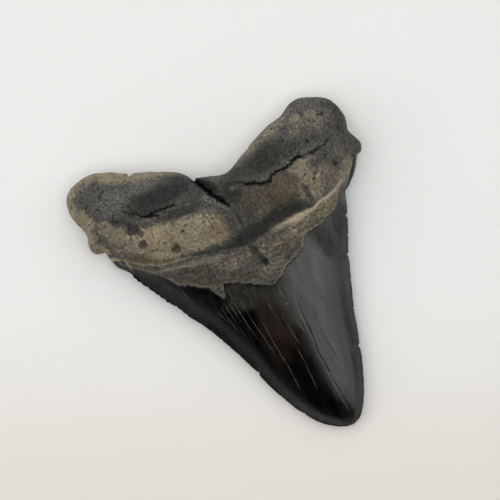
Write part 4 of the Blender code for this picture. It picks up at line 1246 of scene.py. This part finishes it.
def serration_tree():
    """Cuts rounded notches into both cutting edges, uneven in depth as worn serrations are."""
    inputs = (
        GEOMETRY, ("Pitch", NUMBER, 0.7 * MM), ("Depth", NUMBER, 0.2 * MM),
        ("Reach", NUMBER, 0.6 * MM), ("Unevenness", NUMBER, 0.6), ("Seed", NUMBER, 0.0),
        ("Stone", MATERIAL, None), ("Enamel", MATERIAL, None),
    )
    tree, ends, outputs = new_group("edge serrations", "GeometryNodeTree", inputs, (GEOMETRY,))
    turns = maths(tree, "DIVIDE", named(tree, "edge_run"), ends["Pitch"])
    drift = wave_noise(tree, maths(tree, "ADD", ends["Seed"], turns), DRIFT_SCALE)
    phase = maths(tree, "ADD", turns, maths(tree, "MULTIPLY", drift, DRIFT_SWAY))
    phase = maths(tree, "MULTIPLY", phase, math.pi)
    crest = maths(tree, "ABSOLUTE", maths(tree, "SINE", phase))
    notch = maths(tree, "SUBTRACT", 1.0, maths(tree, "POWER", crest, CREST_SHARPNESS))
    wear = wave_noise(tree, maths(tree, "SUBTRACT", turns, ends["Seed"]), WEAR_SCALE)
    worn = maths(tree, "MULTIPLY_ADD", wear, WEAR_CONTRAST, WEAR_SHIFT)
    lost = maths(tree, "MULTIPLY", ends["Unevenness"], worn, clamp=True)
    depth = maths(tree, "MULTIPLY", ends["Depth"], maths(tree, "SUBTRACT", 1.0, lost))
    near = maths(tree, "DIVIDE", named(tree, "edge_gap"), ends["Reach"])
    near = maths(tree, "SUBTRACT", 1.0, near, clamp=True)
    near = maths(tree, "MULTIPLY", near, named(tree, "edge_share"))
    near = maths(tree, "MULTIPLY", near, -1.0)
    inwards = maths(tree, "MULTIPLY", maths(tree, "MULTIPLY", notch, depth), near)
    offset = vector_maths(tree, "SCALE", named(tree, "edge_out", "FLOAT_VECTOR"), scale=inwards)
    values = {"Geometry": ends["Geometry"], "Offset": offset}
    moved = add(tree, "GeometryNodeSetPosition", values)
    end_with_materials(tree, ends, outputs, moved.outputs[0])
    return tree


def relief_tree():
    """Raises grain and fibres on the stone along its normals, and keeps the base flat."""
    inputs = (
        GEOMETRY, ("Grain Size", NUMBER, 0.9 * MM), ("Grain Height", NUMBER, 0.1 * MM),
        ("Fibre Width", NUMBER, 0.6 * MM), ("Fibre Height", NUMBER, 0.08 * MM),
        ("Stone", MATERIAL, None), ("Enamel", MATERIAL, None),
    )
    tree, ends, outputs = new_group("stone relief", "GeometryNodeTree", inputs, (GEOMETRY,))
    position = add(tree, "GeometryNodeInputPosition").outputs[0]
    grain = vector_maths(tree, "SCALE", position, scale=maths(tree, "DIVIDE", 1.0, ends["Grain Size"]))
    grain = add(tree, "ShaderNodeTexNoise", {"Vector": grain, "Scale": 1.0, "Detail": 3.0}).outputs[0]
    along = vector_maths(tree, "MULTIPLY", position, FIBRE_SQUEEZE)
    along = vector_maths(tree, "SCALE", along, scale=maths(tree, "DIVIDE", 1.0, ends["Fibre Width"]))
    fibre = add(tree, "ShaderNodeTexNoise", {"Vector": along, "Scale": 1.0, "Detail": 2.0}).outputs[0]
    grain = maths(tree, "MULTIPLY", maths(tree, "SUBTRACT", grain, 0.5), ends["Grain Height"])
    fibre = maths(tree, "MULTIPLY", maths(tree, "SUBTRACT", fibre, 0.5), ends["Fibre Height"])
    fibre = maths(tree, "MULTIPLY", fibre, named(tree, "fibre"))
    high = maths(tree, "MULTIPLY", maths(tree, "ADD", grain, fibre), named(tree, "stone_share"))
    # The noise swings by a half to each side, so twice of it has the full height.
    high = maths(tree, "MULTIPLY", high, 2.0)
    offset = vector_maths(tree, "SCALE", add(tree, "GeometryNodeInputNormal").outputs[0], scale=high)
    raised = vector_maths(tree, "ADD", position, offset)
    raised = vector_maths(tree, "MAXIMUM", raised, LOWEST_PLACE)
    moved = add(tree, "GeometryNodeSetPosition", {"Geometry": ends["Geometry"], "Position": raised})
    end_with_materials(tree, ends, outputs, moved.outputs[0])
    return tree


def with_nodes(obj, tree, values):
    """Adds a geometry nodes modifier and sets its inputs by their identifiers."""
    modifier = obj.modifiers.new(tree.name, "NODES")
    modifier.node_group = tree
    for item in tree.interface.items_tree:
        if item.in_out == "INPUT" and item.name in values:
            modifier[item.identifier] = values[item.name]


def applied(obj, name):
    """The evaluated object as one plain mesh object at the origin."""
    graph = bpy.context.evaluated_depsgraph_get()
    mesh = bpy.data.meshes.new_from_object(obj.evaluated_get(graph))
    mesh.name = name
    bpy.data.objects.remove(obj)
    for helper in HELPER_MARKS:
        mesh.attributes.remove(mesh.attributes[helper])
    made = bpy.data.objects.new(name, mesh)
    bpy.context.scene.collection.objects.link(made)
    return made


def mottle_group():
    """Noise in millimetres, stretched along the tooth, between two thresholds."""
    inputs = (
        ("Position", VECTOR, None), ("Size", NUMBER, 1.0), ("Stretch", NUMBER, 1.0),
        ("Detail", NUMBER, 3.0), ("Low", NUMBER, 0.35), ("High", NUMBER, 0.65),
    )
    tree, ends, outputs = new_group("mottle", "ShaderNodeTree", inputs, (("Mask", NUMBER, None),))
    along = maths(tree, "DIVIDE", 1.0, ends["Stretch"])
    squeeze = add(tree, "ShaderNodeCombineXYZ", {"X": 1.0, "Y": along, "Z": 1.0}).outputs[0]
    place = vector_maths(tree, "MULTIPLY", ends["Position"], squeeze)
    place = vector_maths(tree, "SCALE", place, scale=maths(tree, "DIVIDE", 1.0, ends["Size"]))
    values = {"Vector": place, "Scale": 1.0, "Detail": ends["Detail"], "Roughness": 0.6}
    grain = add(tree, "ShaderNodeTexNoise", values).outputs[0]
    values = {"Value": grain, "From Min": ends["Low"], "From Max": ends["High"]}
    mask = add(tree, "ShaderNodeMapRange", values, interpolation_type="SMOOTHSTEP")
    tree.links.new(mask.outputs[0], outputs["Mask"])
    return tree


def gloss_group(mottle):
    """Roughness that wanders between two values in long soft streaks and small rubbed spots."""
    inputs = (
        ("Position", VECTOR, None), ("Size", NUMBER, 2.0), ("Stretch", NUMBER, 1.0),
        ("Smooth", NUMBER, 0.3), ("Rough", NUMBER, 0.5),
    )
    made = (("Roughness", NUMBER, None),)
    tree, ends, outputs = new_group("uneven gloss", "ShaderNodeTree", inputs, made)
    mask = use(tree, mottle, Position=ends["Position"], Size=ends["Size"], Stretch=ends["Stretch"])
    values = {"Value": mask, "To Min": ends["Smooth"], "To Max": ends["Rough"]}
    spread = add(tree, "ShaderNodeMapRange", values)
    tree.links.new(spread.outputs[0], outputs["Roughness"])
    return tree


def dust_group(mottle):
    """Pale dust that clings where its share is high, broken into grains."""
    inputs = (
        ("Position", VECTOR, None), ("Share", NUMBER, 0.0), ("Grain", NUMBER, 0.4),
        ("Colour", COLOUR, None), ("Dust", COLOUR, (0.4, 0.35, 0.25, 1.0)),
    )
    tree, ends, outputs = new_group("dust", "ShaderNodeTree", inputs, (("Colour", COLOUR, None),))
    grains = use(tree, mottle, Position=ends["Position"], Size=ends["Grain"], Low=0.3, High=0.6)
    grains = maths(tree, "MULTIPLY_ADD", grains, 0.7, 0.4)
    share = maths(tree, "MULTIPLY", ends["Share"], grains, clamp=True)
    tree.links.new(mixed(tree, share, ends["Colour"], ends["Dust"]), outputs["Colour"])
    return tree


def use(tree, group, **values):
    """Places a shader group with these values and gives its first output."""
    made = add(tree, "ShaderNodeGroup", node_tree=group)
    for name, value in values.items():
        fill(tree, made.inputs[name], value)
    return made.outputs[0]


def mixed(tree, share, first, second, blend="MIX"):
    made = add(tree, "ShaderNodeMix", data_type="RGBA", blend_type=blend)
    for number, value in ((0, share), (6, first), (7, second)):
        fill(tree, made.inputs[number], value)
    return made.outputs[2]


def mark(tree, name):
    return add(tree, "ShaderNodeAttribute", attribute_name=name).outputs["Fac"]


def new_material(name):
    """A material with its Principled shader, and the object's place in millimetres."""
    material = bpy.data.materials.new(name)
    material.use_nodes = True
    tree = material.node_tree
    place = add(tree, "ShaderNodeTexCoord").outputs["Object"]
    place = vector_maths(tree, "SCALE", place, scale=1.0 / MM)
    return material, tree, tree.nodes["Principled BSDF"], place


def times(tree, *values):
    total = values[0]
    for value in values[1:]:
        total = maths(tree, "MULTIPLY", total, value)
    return total


# The stone's patterns: size in mm, stretch along the tooth, detail, and two thresholds.
STONE_GRAINS = {
    "speck": (0.75, 1.0, 5.0, 0.34, 0.68),
    "blotch": (3.5, 1.0, 4.0, 0.35, 0.62),
    "fibres": (0.36, 11.0, 3.0, 0.28, 0.74),
    "flecks": (0.4, 1.5, 3.0, 0.57, 0.70),
    "pores": (0.6, 1.8, 1.0, 0.30, 0.22),
    "crumbs": (1.1, 1.0, 6.0, 0.34, 0.62),
    "grit": (0.55, 1.0, 3.0, 0.50, 0.60),
    "loops": (1.9, 1.0, 6.0, 0.3, 0.7),
    "fine": (0.3, 1.0, 4.0, 0.2, 0.8),
}
# The bourlette's thin layers lie across the tooth, turned a little and drawn out.
LAYER_TURN = (0.0, 0.0, 0.3)
LAYER_STRETCH = (0.22, 1.0, 1.0)
LAYER_DARK = (0.58, 0.585, 0.53, 1.0)
LAYER_LIGHT = (1.36, 1.36, 1.22, 1.0)
FIBRE_DARK = (0.70, 0.70, 0.70, 1.0)
FIBRE_LIGHT = (1.28, 1.27, 1.25, 1.0)


def stone_grains(tree, mottle, place):
    """Every pattern of the stone, by name."""
    grains = SimpleNamespace()
    for name, (size, stretch, detail, low, high) in STONE_GRAINS.items():
        mask = use(tree, mottle, Position=place, Size=size, Stretch=stretch, Detail=detail,
                   Low=low, High=high)
        setattr(grains, name, mask)
    return grains


def pigments(tree, settings, grains):
    """Speckled grey stone with its tan, olive and rust stains."""
    grey = mixed(tree, grains.speck, settings.dark_grey, settings.light_grey)
    grey = mixed(tree, times(tree, grains.blotch, 0.4), grey, settings.light_grey)
    along = maths(tree, "MULTIPLY_ADD", grains.fibres, 0.42, 0.28)
    along = maths(tree, "MULTIPLY_ADD", grains.speck, 0.25, along, clamp=True)
    tan = mixed(tree, along, settings.dark_tan, settings.light_tan)
    patchy = maths(tree, "MULTIPLY_ADD", grains.blotch, 0.3, 0.7)
    colour = mixed(tree, times(tree, mark(tree, "tan"), patchy), grey, tan)
    olive = mixed(tree, grains.fibres, settings.dark_olive, settings.light_olive)
    colour = mixed(tree, mark(tree, "olive"), colour, olive)
    return mixed(tree, times(tree, mark(tree, "warm"), 0.5), colour, settings.rust)


def layered_band(tree, settings, groups, grains, place, colour):
    """The bourlette: thin layers, and crumbs with dark gaps between them."""
    values = {"Vector": place, "Rotation": LAYER_TURN, "Scale": LAYER_STRETCH}
    turned = add(tree, "ShaderNodeMapping", values).outputs[0]
    layers = use(tree, groups.mottle, Position=turned, Size=0.9, Detail=5.0, Low=0.36, High=0.62)
    shades = mixed(tree, layers, LAYER_DARK, LAYER_LIGHT)
    layered = mixed(tree, 1.0, colour, shades, "MULTIPLY")
    band = mark(tree, "band")
    colour = mixed(tree, times(tree, band, 0.8), colour, layered)
    filled = maths(tree, "MULTIPLY_ADD", grains.crumbs, 0.8, 0.2)
    crumbly = mixed(tree, filled, settings.dark_olive, colour)
    return mixed(tree, times(tree, band, 0.7), colour, crumbly)


def shade_stains_and_fibres(tree, settings, grains, colour):
    """Painted shade and dark stains over the stone, and light and dark fibres along the root."""
    clear = maths(tree, "MULTIPLY_ADD", grains.speck, -0.15, 1.0)
    # Painted shade and dark stains.
    colour = mixed(tree, times(tree, mark(tree, "dark"), clear), colour, settings.shade_and_dark_stain)
    shades = mixed(tree, grains.fibres, FIBRE_DARK, FIBRE_LIGHT)
    streaked = mixed(tree, 1.0, colour, shades, "MULTIPLY")
    return mixed(tree, times(tree, mark(tree, "fibre"), 0.8), colour, streaked)


def loose_grains(tree, settings, grains, colour):
    """Pale flecks, dark pores, and crumbs with fine threads between them."""
    bare = maths(tree, "MULTIPLY_ADD", mark(tree, "dark"), -0.75, 1.0)
    colour = mixed(tree, times(tree, grains.flecks, bare, 0.38), colour, settings.fleck)
    colour = mixed(tree, times(tree, grains.pores, bare, 0.55), colour, settings.pore)
    crumb = mark(tree, "crumb")
    colour = mixed(tree, times(tree, grains.grit, crumb, 0.75), colour, settings.fleck)
    threads = maths(tree, "ABSOLUTE", maths(tree, "SUBTRACT", grains.loops, 0.5))
    threads = maths(tree, "MULTIPLY_ADD", threads, -16.0, 1.0, clamp=True)
    held = maths(tree, "MULTIPLY_ADD", grains.crumbs, 0.8, 0.1)
    return mixed(tree, times(tree, threads, crumb, held), colour, settings.fleck)


def stone_material(settings, groups):
    """Fossil root: speckled grey stone, tan and rust blots, dark pores, fibres along the tooth, with
    painted shade in cracks and hollows and painted highlights on rims.
    """
    material, tree, shader, place = new_material("fossil root stone")
    grains = stone_grains(tree, groups.mottle, place)
    colour = pigments(tree, settings, grains)
    colour = layered_band(tree, settings, groups, grains, place, colour)
    colour = shade_stains_and_fibres(tree, settings, grains, colour)
    colour = loose_grains(tree, settings, grains, colour)
    # Pale dust, and painted highlights on the rims of the ledge and the enamel.
    colour = use(tree, groups.dust, Position=place, Share=mark(tree, "pale"), Grain=0.6, Colour=colour,
                 Dust=settings.dust_and_rim_highlight)
    # Painted shade in the cracks, pits and pockets.
    colour = mixed(tree, mark(tree, "cut"), colour, settings.crack)
    fill(tree, shader.inputs["Base Color"], colour)
    roughness = use(tree, groups.gloss, Position=place, Size=1.6, Smooth=0.5, Rough=0.82)
    fill(tree, shader.inputs["Roughness"], roughness)
    height = maths(tree, "ADD", grains.fine, times(tree, grains.fibres, mark(tree, "fibre")))
    height = maths(tree, "SUBTRACT", height, times(tree, grains.pores, 1.5))
    values = {"Height": height, "Strength": 0.55, "Distance": 0.12 * MM}
    fill(tree, shader.inputs["Normal"], add(tree, "ShaderNodeBump", values).outputs[0])
    shader.inputs["Specular IOR Level"].default_value = 0.25
    return material


def enamel_colour(tree, settings, groups, place, streaks, worn):
    """Black enamel with grey places that are partly painted sheen, brown and filmy places, and its fine
    cracks.
    """
    clouds = use(tree, groups.mottle, Position=place, Size=7.0, Stretch=2.0, Detail=3.0,
                 Low=0.35, High=0.65)
    colour = mixed(tree, times(tree, streaks, 0.5), settings.enamel, settings.enamel_grey)
    # Grey places: worn enamel and painted sheen.
    grey = times(tree, mark(tree, "grey"), maths(tree, "MULTIPLY_ADD", worn, 0.6, 0.4))
    colour = mixed(tree, grey, colour, settings.enamel_worn_and_sheen)
    brown = times(tree, mark(tree, "brown"), maths(tree, "MULTIPLY_ADD", clouds, 0.5, 0.5))
    colour = mixed(tree, brown, colour, settings.enamel_brown)
    colour = mixed(tree, mark(tree, "film"), colour, settings.enamel_film)
    for name, share, grain in (("pale_line", 0.7, 0.8), ("pale", 0.35, 0.4)):
        colour = use(tree, groups.dust, Position=place, Share=times(tree, mark(tree, name), share),
                     Grain=grain, Colour=colour, Dust=settings.line_dust)
    return mixed(tree, mark(tree, "dark_line"), colour, settings.crack)


def enamel_material(settings, groups):
    """Polished black enamel with fine cracks along it, pale where dust has filled them."""
    material, tree, shader, place = new_material("black enamel")
    mottle = groups.mottle
    streaks = use(tree, mottle, Position=place, Size=0.8, Stretch=25.0, Detail=2.0, Low=0.3, High=0.75)
    worn = use(tree, mottle, Position=place, Size=0.55, Stretch=14.0, Detail=5.0, Low=0.32, High=0.66)
    colour = enamel_colour(tree, settings, groups, place, streaks, worn)
    fill(tree, shader.inputs["Base Color"], colour)
    roughness = use(tree, groups.gloss, Position=place, Size=2.5, Stretch=6.0,
                    Smooth=settings.enamel_smooth, Rough=settings.enamel_rough)
    scratched = times(tree, mark(tree, "dark_line"), maths(tree, "MULTIPLY_ADD", worn, 0.7, 0.5))
    roughness = maths(tree, "MULTIPLY_ADD", scratched, 0.5, roughness, clamp=True)
    fill(tree, shader.inputs["Roughness"], roughness)
    grain = use(tree, mottle, Position=place, Size=0.22, Stretch=3.0, Detail=2.0, Low=0.2, High=0.8)
    height = maths(tree, "ADD", grain, streaks)
    values = {"Height": height, "Strength": 0.35, "Distance": 0.012 * MM}
    fill(tree, shader.inputs["Normal"], add(tree, "ShaderNodeBump", values).outputs[0])
    shader.inputs["IOR"].default_value = 1.55
    return material


def colour_property(name, description, colour):
    return FloatVectorProperty(
        name=name, description=description, subtype="COLOR", size=4, min=0.0, max=1.0,
        default=(*colour, 1.0),
    )


def length_property(name, description, millimetres):
    return FloatProperty(
        name=name, description=description, unit="LENGTH", min=0.0, default=millimetres * MM,
        precision=6,
    )


class ToothSettings(bpy.types.PropertyGroup):
    """Sizes and colours of the tooth."""

    top_spacing: length_property("Top spacing", "Distance between points of the inner face", 0.35)
    under_spacing: length_property(
        "Underside spacing", "Distance between points of the outer face", 0.62
    )
    edge_spacing: length_property(
        "Edge spacing", "Distance between points of the cutting edges", 0.175
    )
    serration_pitch: length_property("Serration pitch", "Distance between two serrations", 0.7)
    serration_depth: length_property("Serration depth", "Depth of an unworn notch", 0.32)
    serration_reach: length_property("Serration reach", "How far the notches run onto the faces", 0.6)
    serration_wear: FloatProperty(
        name="Serration wear", description="Share of the depth that wear has taken off in places",
        subtype="FACTOR", min=0.0, max=1.0, default=0.8,
    )
    grain_size: length_property("Grain size", "Size of the stone's lumps", 0.9)
    grain_height: length_property("Grain height", "Height of the stone's lumps", 0.09)
    fibre_width: length_property("Fibre width", "Width of the fibres on the root", 0.55)
    fibre_height: length_property("Fibre height", "Height of the fibres on the root", 0.08)
    seed: IntProperty(name="Seed", description="Changes where the serrations are worn", default=4)
    dark_grey: colour_property("Dark grey", "Darker specks of the root", (0.0148, 0.0148, 0.0139))
    light_grey: colour_property("Light grey", "Lighter specks of the root", (0.1050, 0.1016, 0.0907))
    dark_tan: colour_property("Dark tan", "Darker specks of the tan band", (0.0855, 0.0684, 0.0441))
    light_tan: colour_property("Light tan", "Lighter specks of the tan band", (0.450, 0.375, 0.250))
    rust: colour_property("Rust", "Warm stains", (0.130, 0.082, 0.038))
    dark_olive: colour_property(
        "Dark olive", "Dark olive stone and gaps between crumbs", (0.0289, 0.0247, 0.0161)
    )
    light_olive: colour_property("Light olive", "Olive fibres", (0.1075, 0.0877, 0.0568))
    # Painted shade of the root's hollows, creases and ledge, and its dark stains.
    shade_and_dark_stain: colour_property("Shade and dark stain", "Painted shade and smooth dark stone", (0.0116, 0.0116, 0.0112))
    fleck: colour_property("Fleck", "Small pale grains", (0.300, 0.280, 0.240))
    pore: colour_property("Pore", "Small dark pores", (0.0153, 0.0136, 0.0119))
    # Pale dust, and painted highlights on the rims of the ledge and the enamel.
    dust_and_rim_highlight: colour_property(
        "Pale dust and rim highlight", "Pale dust, and painted highlights on the rims of the ledge and of the enamel", (0.4480, 0.3752, 0.2520)
    )
    # Painted shade inside the cracks, fissures, pits and pockets of the stone; on the enamel, the colour
    # of its dark lines and dull places.
    crack: colour_property("Crack", "Inside of the cracks", (0.004, 0.004, 0.004))
    enamel: colour_property("Enamel", "Black enamel", (0.0004, 0.0004, 0.0004))
    enamel_grey: colour_property(
        "Enamel streak", "Greyer streaks of the enamel", (0.0018, 0.0018, 0.0017)
    )
    # Grey of the worn enamel, also used as painted sheen.
    enamel_worn_and_sheen: colour_property(
        "Worn enamel and sheen", "Dull grey enamel below the root, and painted sheen", (0.034, 0.0325, 0.0275)
    )
    enamel_film: colour_property(
        "Enamel film", "Grey film on the enamel of the shoulders", (0.085, 0.085, 0.080)
    )
    enamel_brown: colour_property("Enamel brown", "Brown tint of the enamel", (0.0185, 0.0120, 0.0085))
    line_dust: colour_property("Line dust", "Dust in the enamel's cracks", (0.260, 0.235, 0.190))
    enamel_smooth: FloatProperty(
        name="Enamel smooth", description="Roughness where polished", subtype="FACTOR", min=0.0, max=1.0,
        default=0.22,
    )
    enamel_rough: FloatProperty(
        name="Enamel rough", description="Roughness where worn", subtype="FACTOR", min=0.0, max=1.0,
        default=0.36,
    )


class TOOTH_OT_build(bpy.types.Operator):
    """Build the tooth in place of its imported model"""

    bl_idname = "tooth.build"
    bl_label = "Build tooth"

    def execute(self, context):
        settings = context.scene.fossil_tooth
        mottle = mottle_group()
        groups = SimpleNamespace(mottle=mottle, gloss=gloss_group(mottle), dust=dust_group(mottle))
        stone, enamel = stone_material(settings, groups), enamel_material(settings, groups)
        mesh = tooth_mesh(settings)
        mesh.materials.append(stone)
        mesh.materials.append(enamel)
        plain = bpy.data.objects.new("plain_tooth", mesh)
        context.scene.collection.objects.link(plain)
        finishes = {"Stone": stone, "Enamel": enamel}
        with_nodes(plain, serration_tree(), finishes | {
            "Pitch": settings.serration_pitch, "Depth": settings.serration_depth,
            "Reach": settings.serration_reach, "Unevenness": settings.serration_wear,
            "Seed": float(settings.seed),
        })
        with_nodes(plain, relief_tree(), finishes | {
            "Grain Size": settings.grain_size, "Grain Height": settings.grain_height,
            "Fibre Width": settings.fibre_width, "Fibre Height": settings.fibre_height,
        })
        tooth = applied(plain, "fossil_tooth")
        if not tooth.data.polygons:
            raise RuntimeError("the tooth has no faces")
        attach(tooth, "root")
        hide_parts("tooth")
        return {"FINISHED"}


# The photograph looks straight down, with the tooth turned 25 degrees in the frame.
FRAME_CENTRE = (0.33 * MM, 9.8 * MM)
FRAME_TURN = math.radians(-25.0)
FRAME_PLANE_HEIGHT = 6.5 * MM
CAMERA_DISTANCE = 0.70
CAMERA_LENS = 168.0
CAMERA_REACH = 10.0
FLOOR_SIZE = 3.0
# Towards the viewer in the photograph, and how far off in mm the table has its warm colour.
WARM_WAY = (-0.42, -0.91)
WARM_REACH = 70.0
# The room's walls fade into the dark ceiling between these heights on the sky's sphere.
WALL_HEIGHTS = (0.05, 0.45)


class StageSettings(bpy.types.PropertyGroup):
    """Table, light and camera."""

    table: colour_property("Table", "Pale table top", (0.872, 0.864, 0.856))
    table_warm: colour_property("Warm table", "The table nearer the viewer", (0.80, 0.765, 0.71))
    window_light: FloatProperty(
        name="Window", description="Radiance of the windows on the right", min=0.0, default=1.76,
    )
    ceiling_light: FloatProperty(
        name="Ceiling", description="Radiance of the light from above", min=0.0, default=2.42,
    )
    fill_light: FloatProperty(
        name="Fill", description="Radiance of the fill lights", min=0.0, default=0.82,
    )
    wall_light: FloatProperty(
        name="Walls", description="Radiance of the room's walls", min=0.0, default=0.27,
    )


def softboxes(settings):
    """Name, turn, slant, distance, size, radiance, colour, and what it lights.

    The windows are what the enamel mirrors; the others light the stone and the table.
    """
    cool, warm, plain = (1.0, 0.995, 0.975), (1.0, 0.97, 0.93), (1.0, 1.0, 0.99)
    window, fill_light = settings.window_light, settings.fill_light
    return (
        ("high window", 5.0, 30.0, 1.2, (1.9, 0.85), window, cool, "gloss"),
        ("low window", -4.0, 64.0, 1.2, (2.2, 0.7), 0.75 * window, cool, "gloss"),
        ("ceiling bounce", 0.0, 0.0, 1.5, (1.3, 1.3), settings.ceiling_light, plain, "diffuse"),
        ("left fill", 155.0, 50.0, 1.2, (1.6, 0.9), 1.6 * fill_light, plain, "diffuse"),
        ("far fill", 80.0, 50.0, 1.2, (1.4, 0.7), 1.4 * fill_light, plain, "diffuse"),
        ("near fill", 255.0, 60.0, 1.2, (1.4, 0.7), 0.5 * fill_light, warm, "diffuse"),
        ("right fill", 0.0, 50.0, 1.2, (1.6, 0.9), 0.95 * fill_light, plain, "diffuse"),
    )


def softbox(name, turn, slant, distance, size, radiance, colour, lights):
    """An area light that faces the tooth: turn is counted from +X, slant from straight above."""
    turn, slant = math.radians(turn), math.radians(slant)
    level = Vector((math.cos(turn), math.sin(turn), 0.0))
    light = bpy.data.lights.new(name, "AREA")
    light.shape = "RECTANGLE"
    light.size, light.size_y = size
    light.color = colour
    light.energy = radiance * math.pi * size[0] * size[1]
    lamp = bpy.data.objects.new(name, light)
    lamp.location = distance * (math.sin(slant) * level + math.cos(slant) * Vector((0.0, 0.0, 1.0)))
    lamp.rotation_euler = (slant, 0.0, turn + 0.5 * math.pi)
    lamp.visible_glossy = lights == "gloss"
    lamp.visible_diffuse = lights == "diffuse"
    bpy.context.scene.collection.objects.link(lamp)


def room_light(settings):
    """A dim room: dark overhead, lighter walls."""
    world = bpy.data.worlds.new("room")
    world.use_nodes = True
    tree = world.node_tree
    way = add(tree, "ShaderNodeTexCoord").outputs["Generated"]
    height = add(tree, "ShaderNodeSeparateXYZ", {"Vector": way}).outputs["Z"]
    values = {
        "Value": height, "From Min": WALL_HEIGHTS[0], "From Max": WALL_HEIGHTS[1],
        "To Min": settings.wall_light, "To Max": 0.0,
    }
    glow = add(tree, "ShaderNodeMapRange", values, interpolation_type="SMOOTHSTEP").outputs[0]
    tree.links.new(glow, tree.nodes["Background"].inputs["Strength"])
    tree.nodes["Background"].inputs["Color"].default_value = (0.99, 1.0, 1.0, 1.0)
    return world


def table_material(settings):
    """A dull pale table top that turns warmer and darker towards the viewer."""
    material, tree, shader, place = new_material("pale table")
    split = add(tree, "ShaderNodeSeparateXYZ", {"Vector": place}).outputs
    parts = [maths(tree, "MULTIPLY", split[axis], WARM_WAY[axis]) for axis in (0, 1)]
    down = maths(tree, "ADD", *parts)
    values = {"Value": down, "From Min": 0.0, "From Max": WARM_REACH}
    share = add(tree, "ShaderNodeMapRange", values, interpolation_type="SMOOTHSTEP").outputs[0]
    colour = mixed(tree, share, settings.table, settings.table_warm)
    fill(tree, shader.inputs["Base Color"], colour)
    shader.inputs["Roughness"].default_value = 0.85
    shader.inputs["Specular IOR Level"].default_value = 0.2
    return material


class TOOTH_OT_stage(bpy.types.Operator):
    """Set the table, the lights and the camera"""

    bl_idname = "tooth.stage"
    bl_label = "Build stage"

    def execute(self, context):
        settings = context.scene.tooth_stage
        scene = context.scene
        mesh = bpy.data.meshes.new("table")
        half = 0.5 * FLOOR_SIZE
        corners = [(-half, -half, 0.0), (half, -half, 0.0), (half, half, 0.0), (-half, half, 0.0)]
        mesh.from_pydata(corners, [], [(0, 1, 2, 3)])
        mesh.materials.append(table_material(settings))
        table = bpy.data.objects.new("table", mesh)
        scene.collection.objects.link(table)
        for light in softboxes(settings):
            softbox(*light)
        scene.world = room_light(settings)
        camera = bpy.data.cameras.new("camera")
        camera.lens = CAMERA_LENS
        camera.clip_end = CAMERA_REACH
        viewer = bpy.data.objects.new("camera", camera)
        viewer.location = (*FRAME_CENTRE, FRAME_PLANE_HEIGHT + CAMERA_DISTANCE)
        viewer.rotation_euler = (0.0, 0.0, FRAME_TURN)
        scene.collection.objects.link(viewer)
        scene.camera = viewer
        scene.view_settings.view_transform = "Standard"
        return {"FINISHED"}


class TOOTH_PT_panel(bpy.types.Panel):
    """Sidebar panel with the tooth's and the stage's settings"""

    bl_idname = "TOOTH_PT_panel"
    bl_label = "Fossil tooth"
    bl_space_type = "VIEW_3D"
    bl_region_type = "UI"
    bl_category = "Tooth"

    def draw(self, context):
        layout = self.layout
        layout.operator("tooth.build")
        for name in ToothSettings.__annotations__:
            layout.prop(context.scene.fossil_tooth, name)
        layout.operator("tooth.stage")
        for name in StageSettings.__annotations__:
            layout.prop(context.scene.tooth_stage, name)


CLASSES = (ToothSettings, StageSettings, TOOTH_OT_build, TOOTH_OT_stage, TOOTH_PT_panel)


def register():
    for each in CLASSES:
        bpy.utils.register_class(each)
    bpy.types.Scene.fossil_tooth = PointerProperty(type=ToothSettings)
    bpy.types.Scene.tooth_stage = PointerProperty(type=StageSettings)


def unregister():
    del bpy.types.Scene.fossil_tooth
    del bpy.types.Scene.tooth_stage
    for each in reversed(CLASSES):
        bpy.utils.unregister_class(each)


def main():
    register()
    for build in (bpy.ops.tooth.build, bpy.ops.tooth.stage):
        if build() != {"FINISHED"}:
            raise RuntimeError("an operator did not finish")


if __name__ == "__main__":
    main()
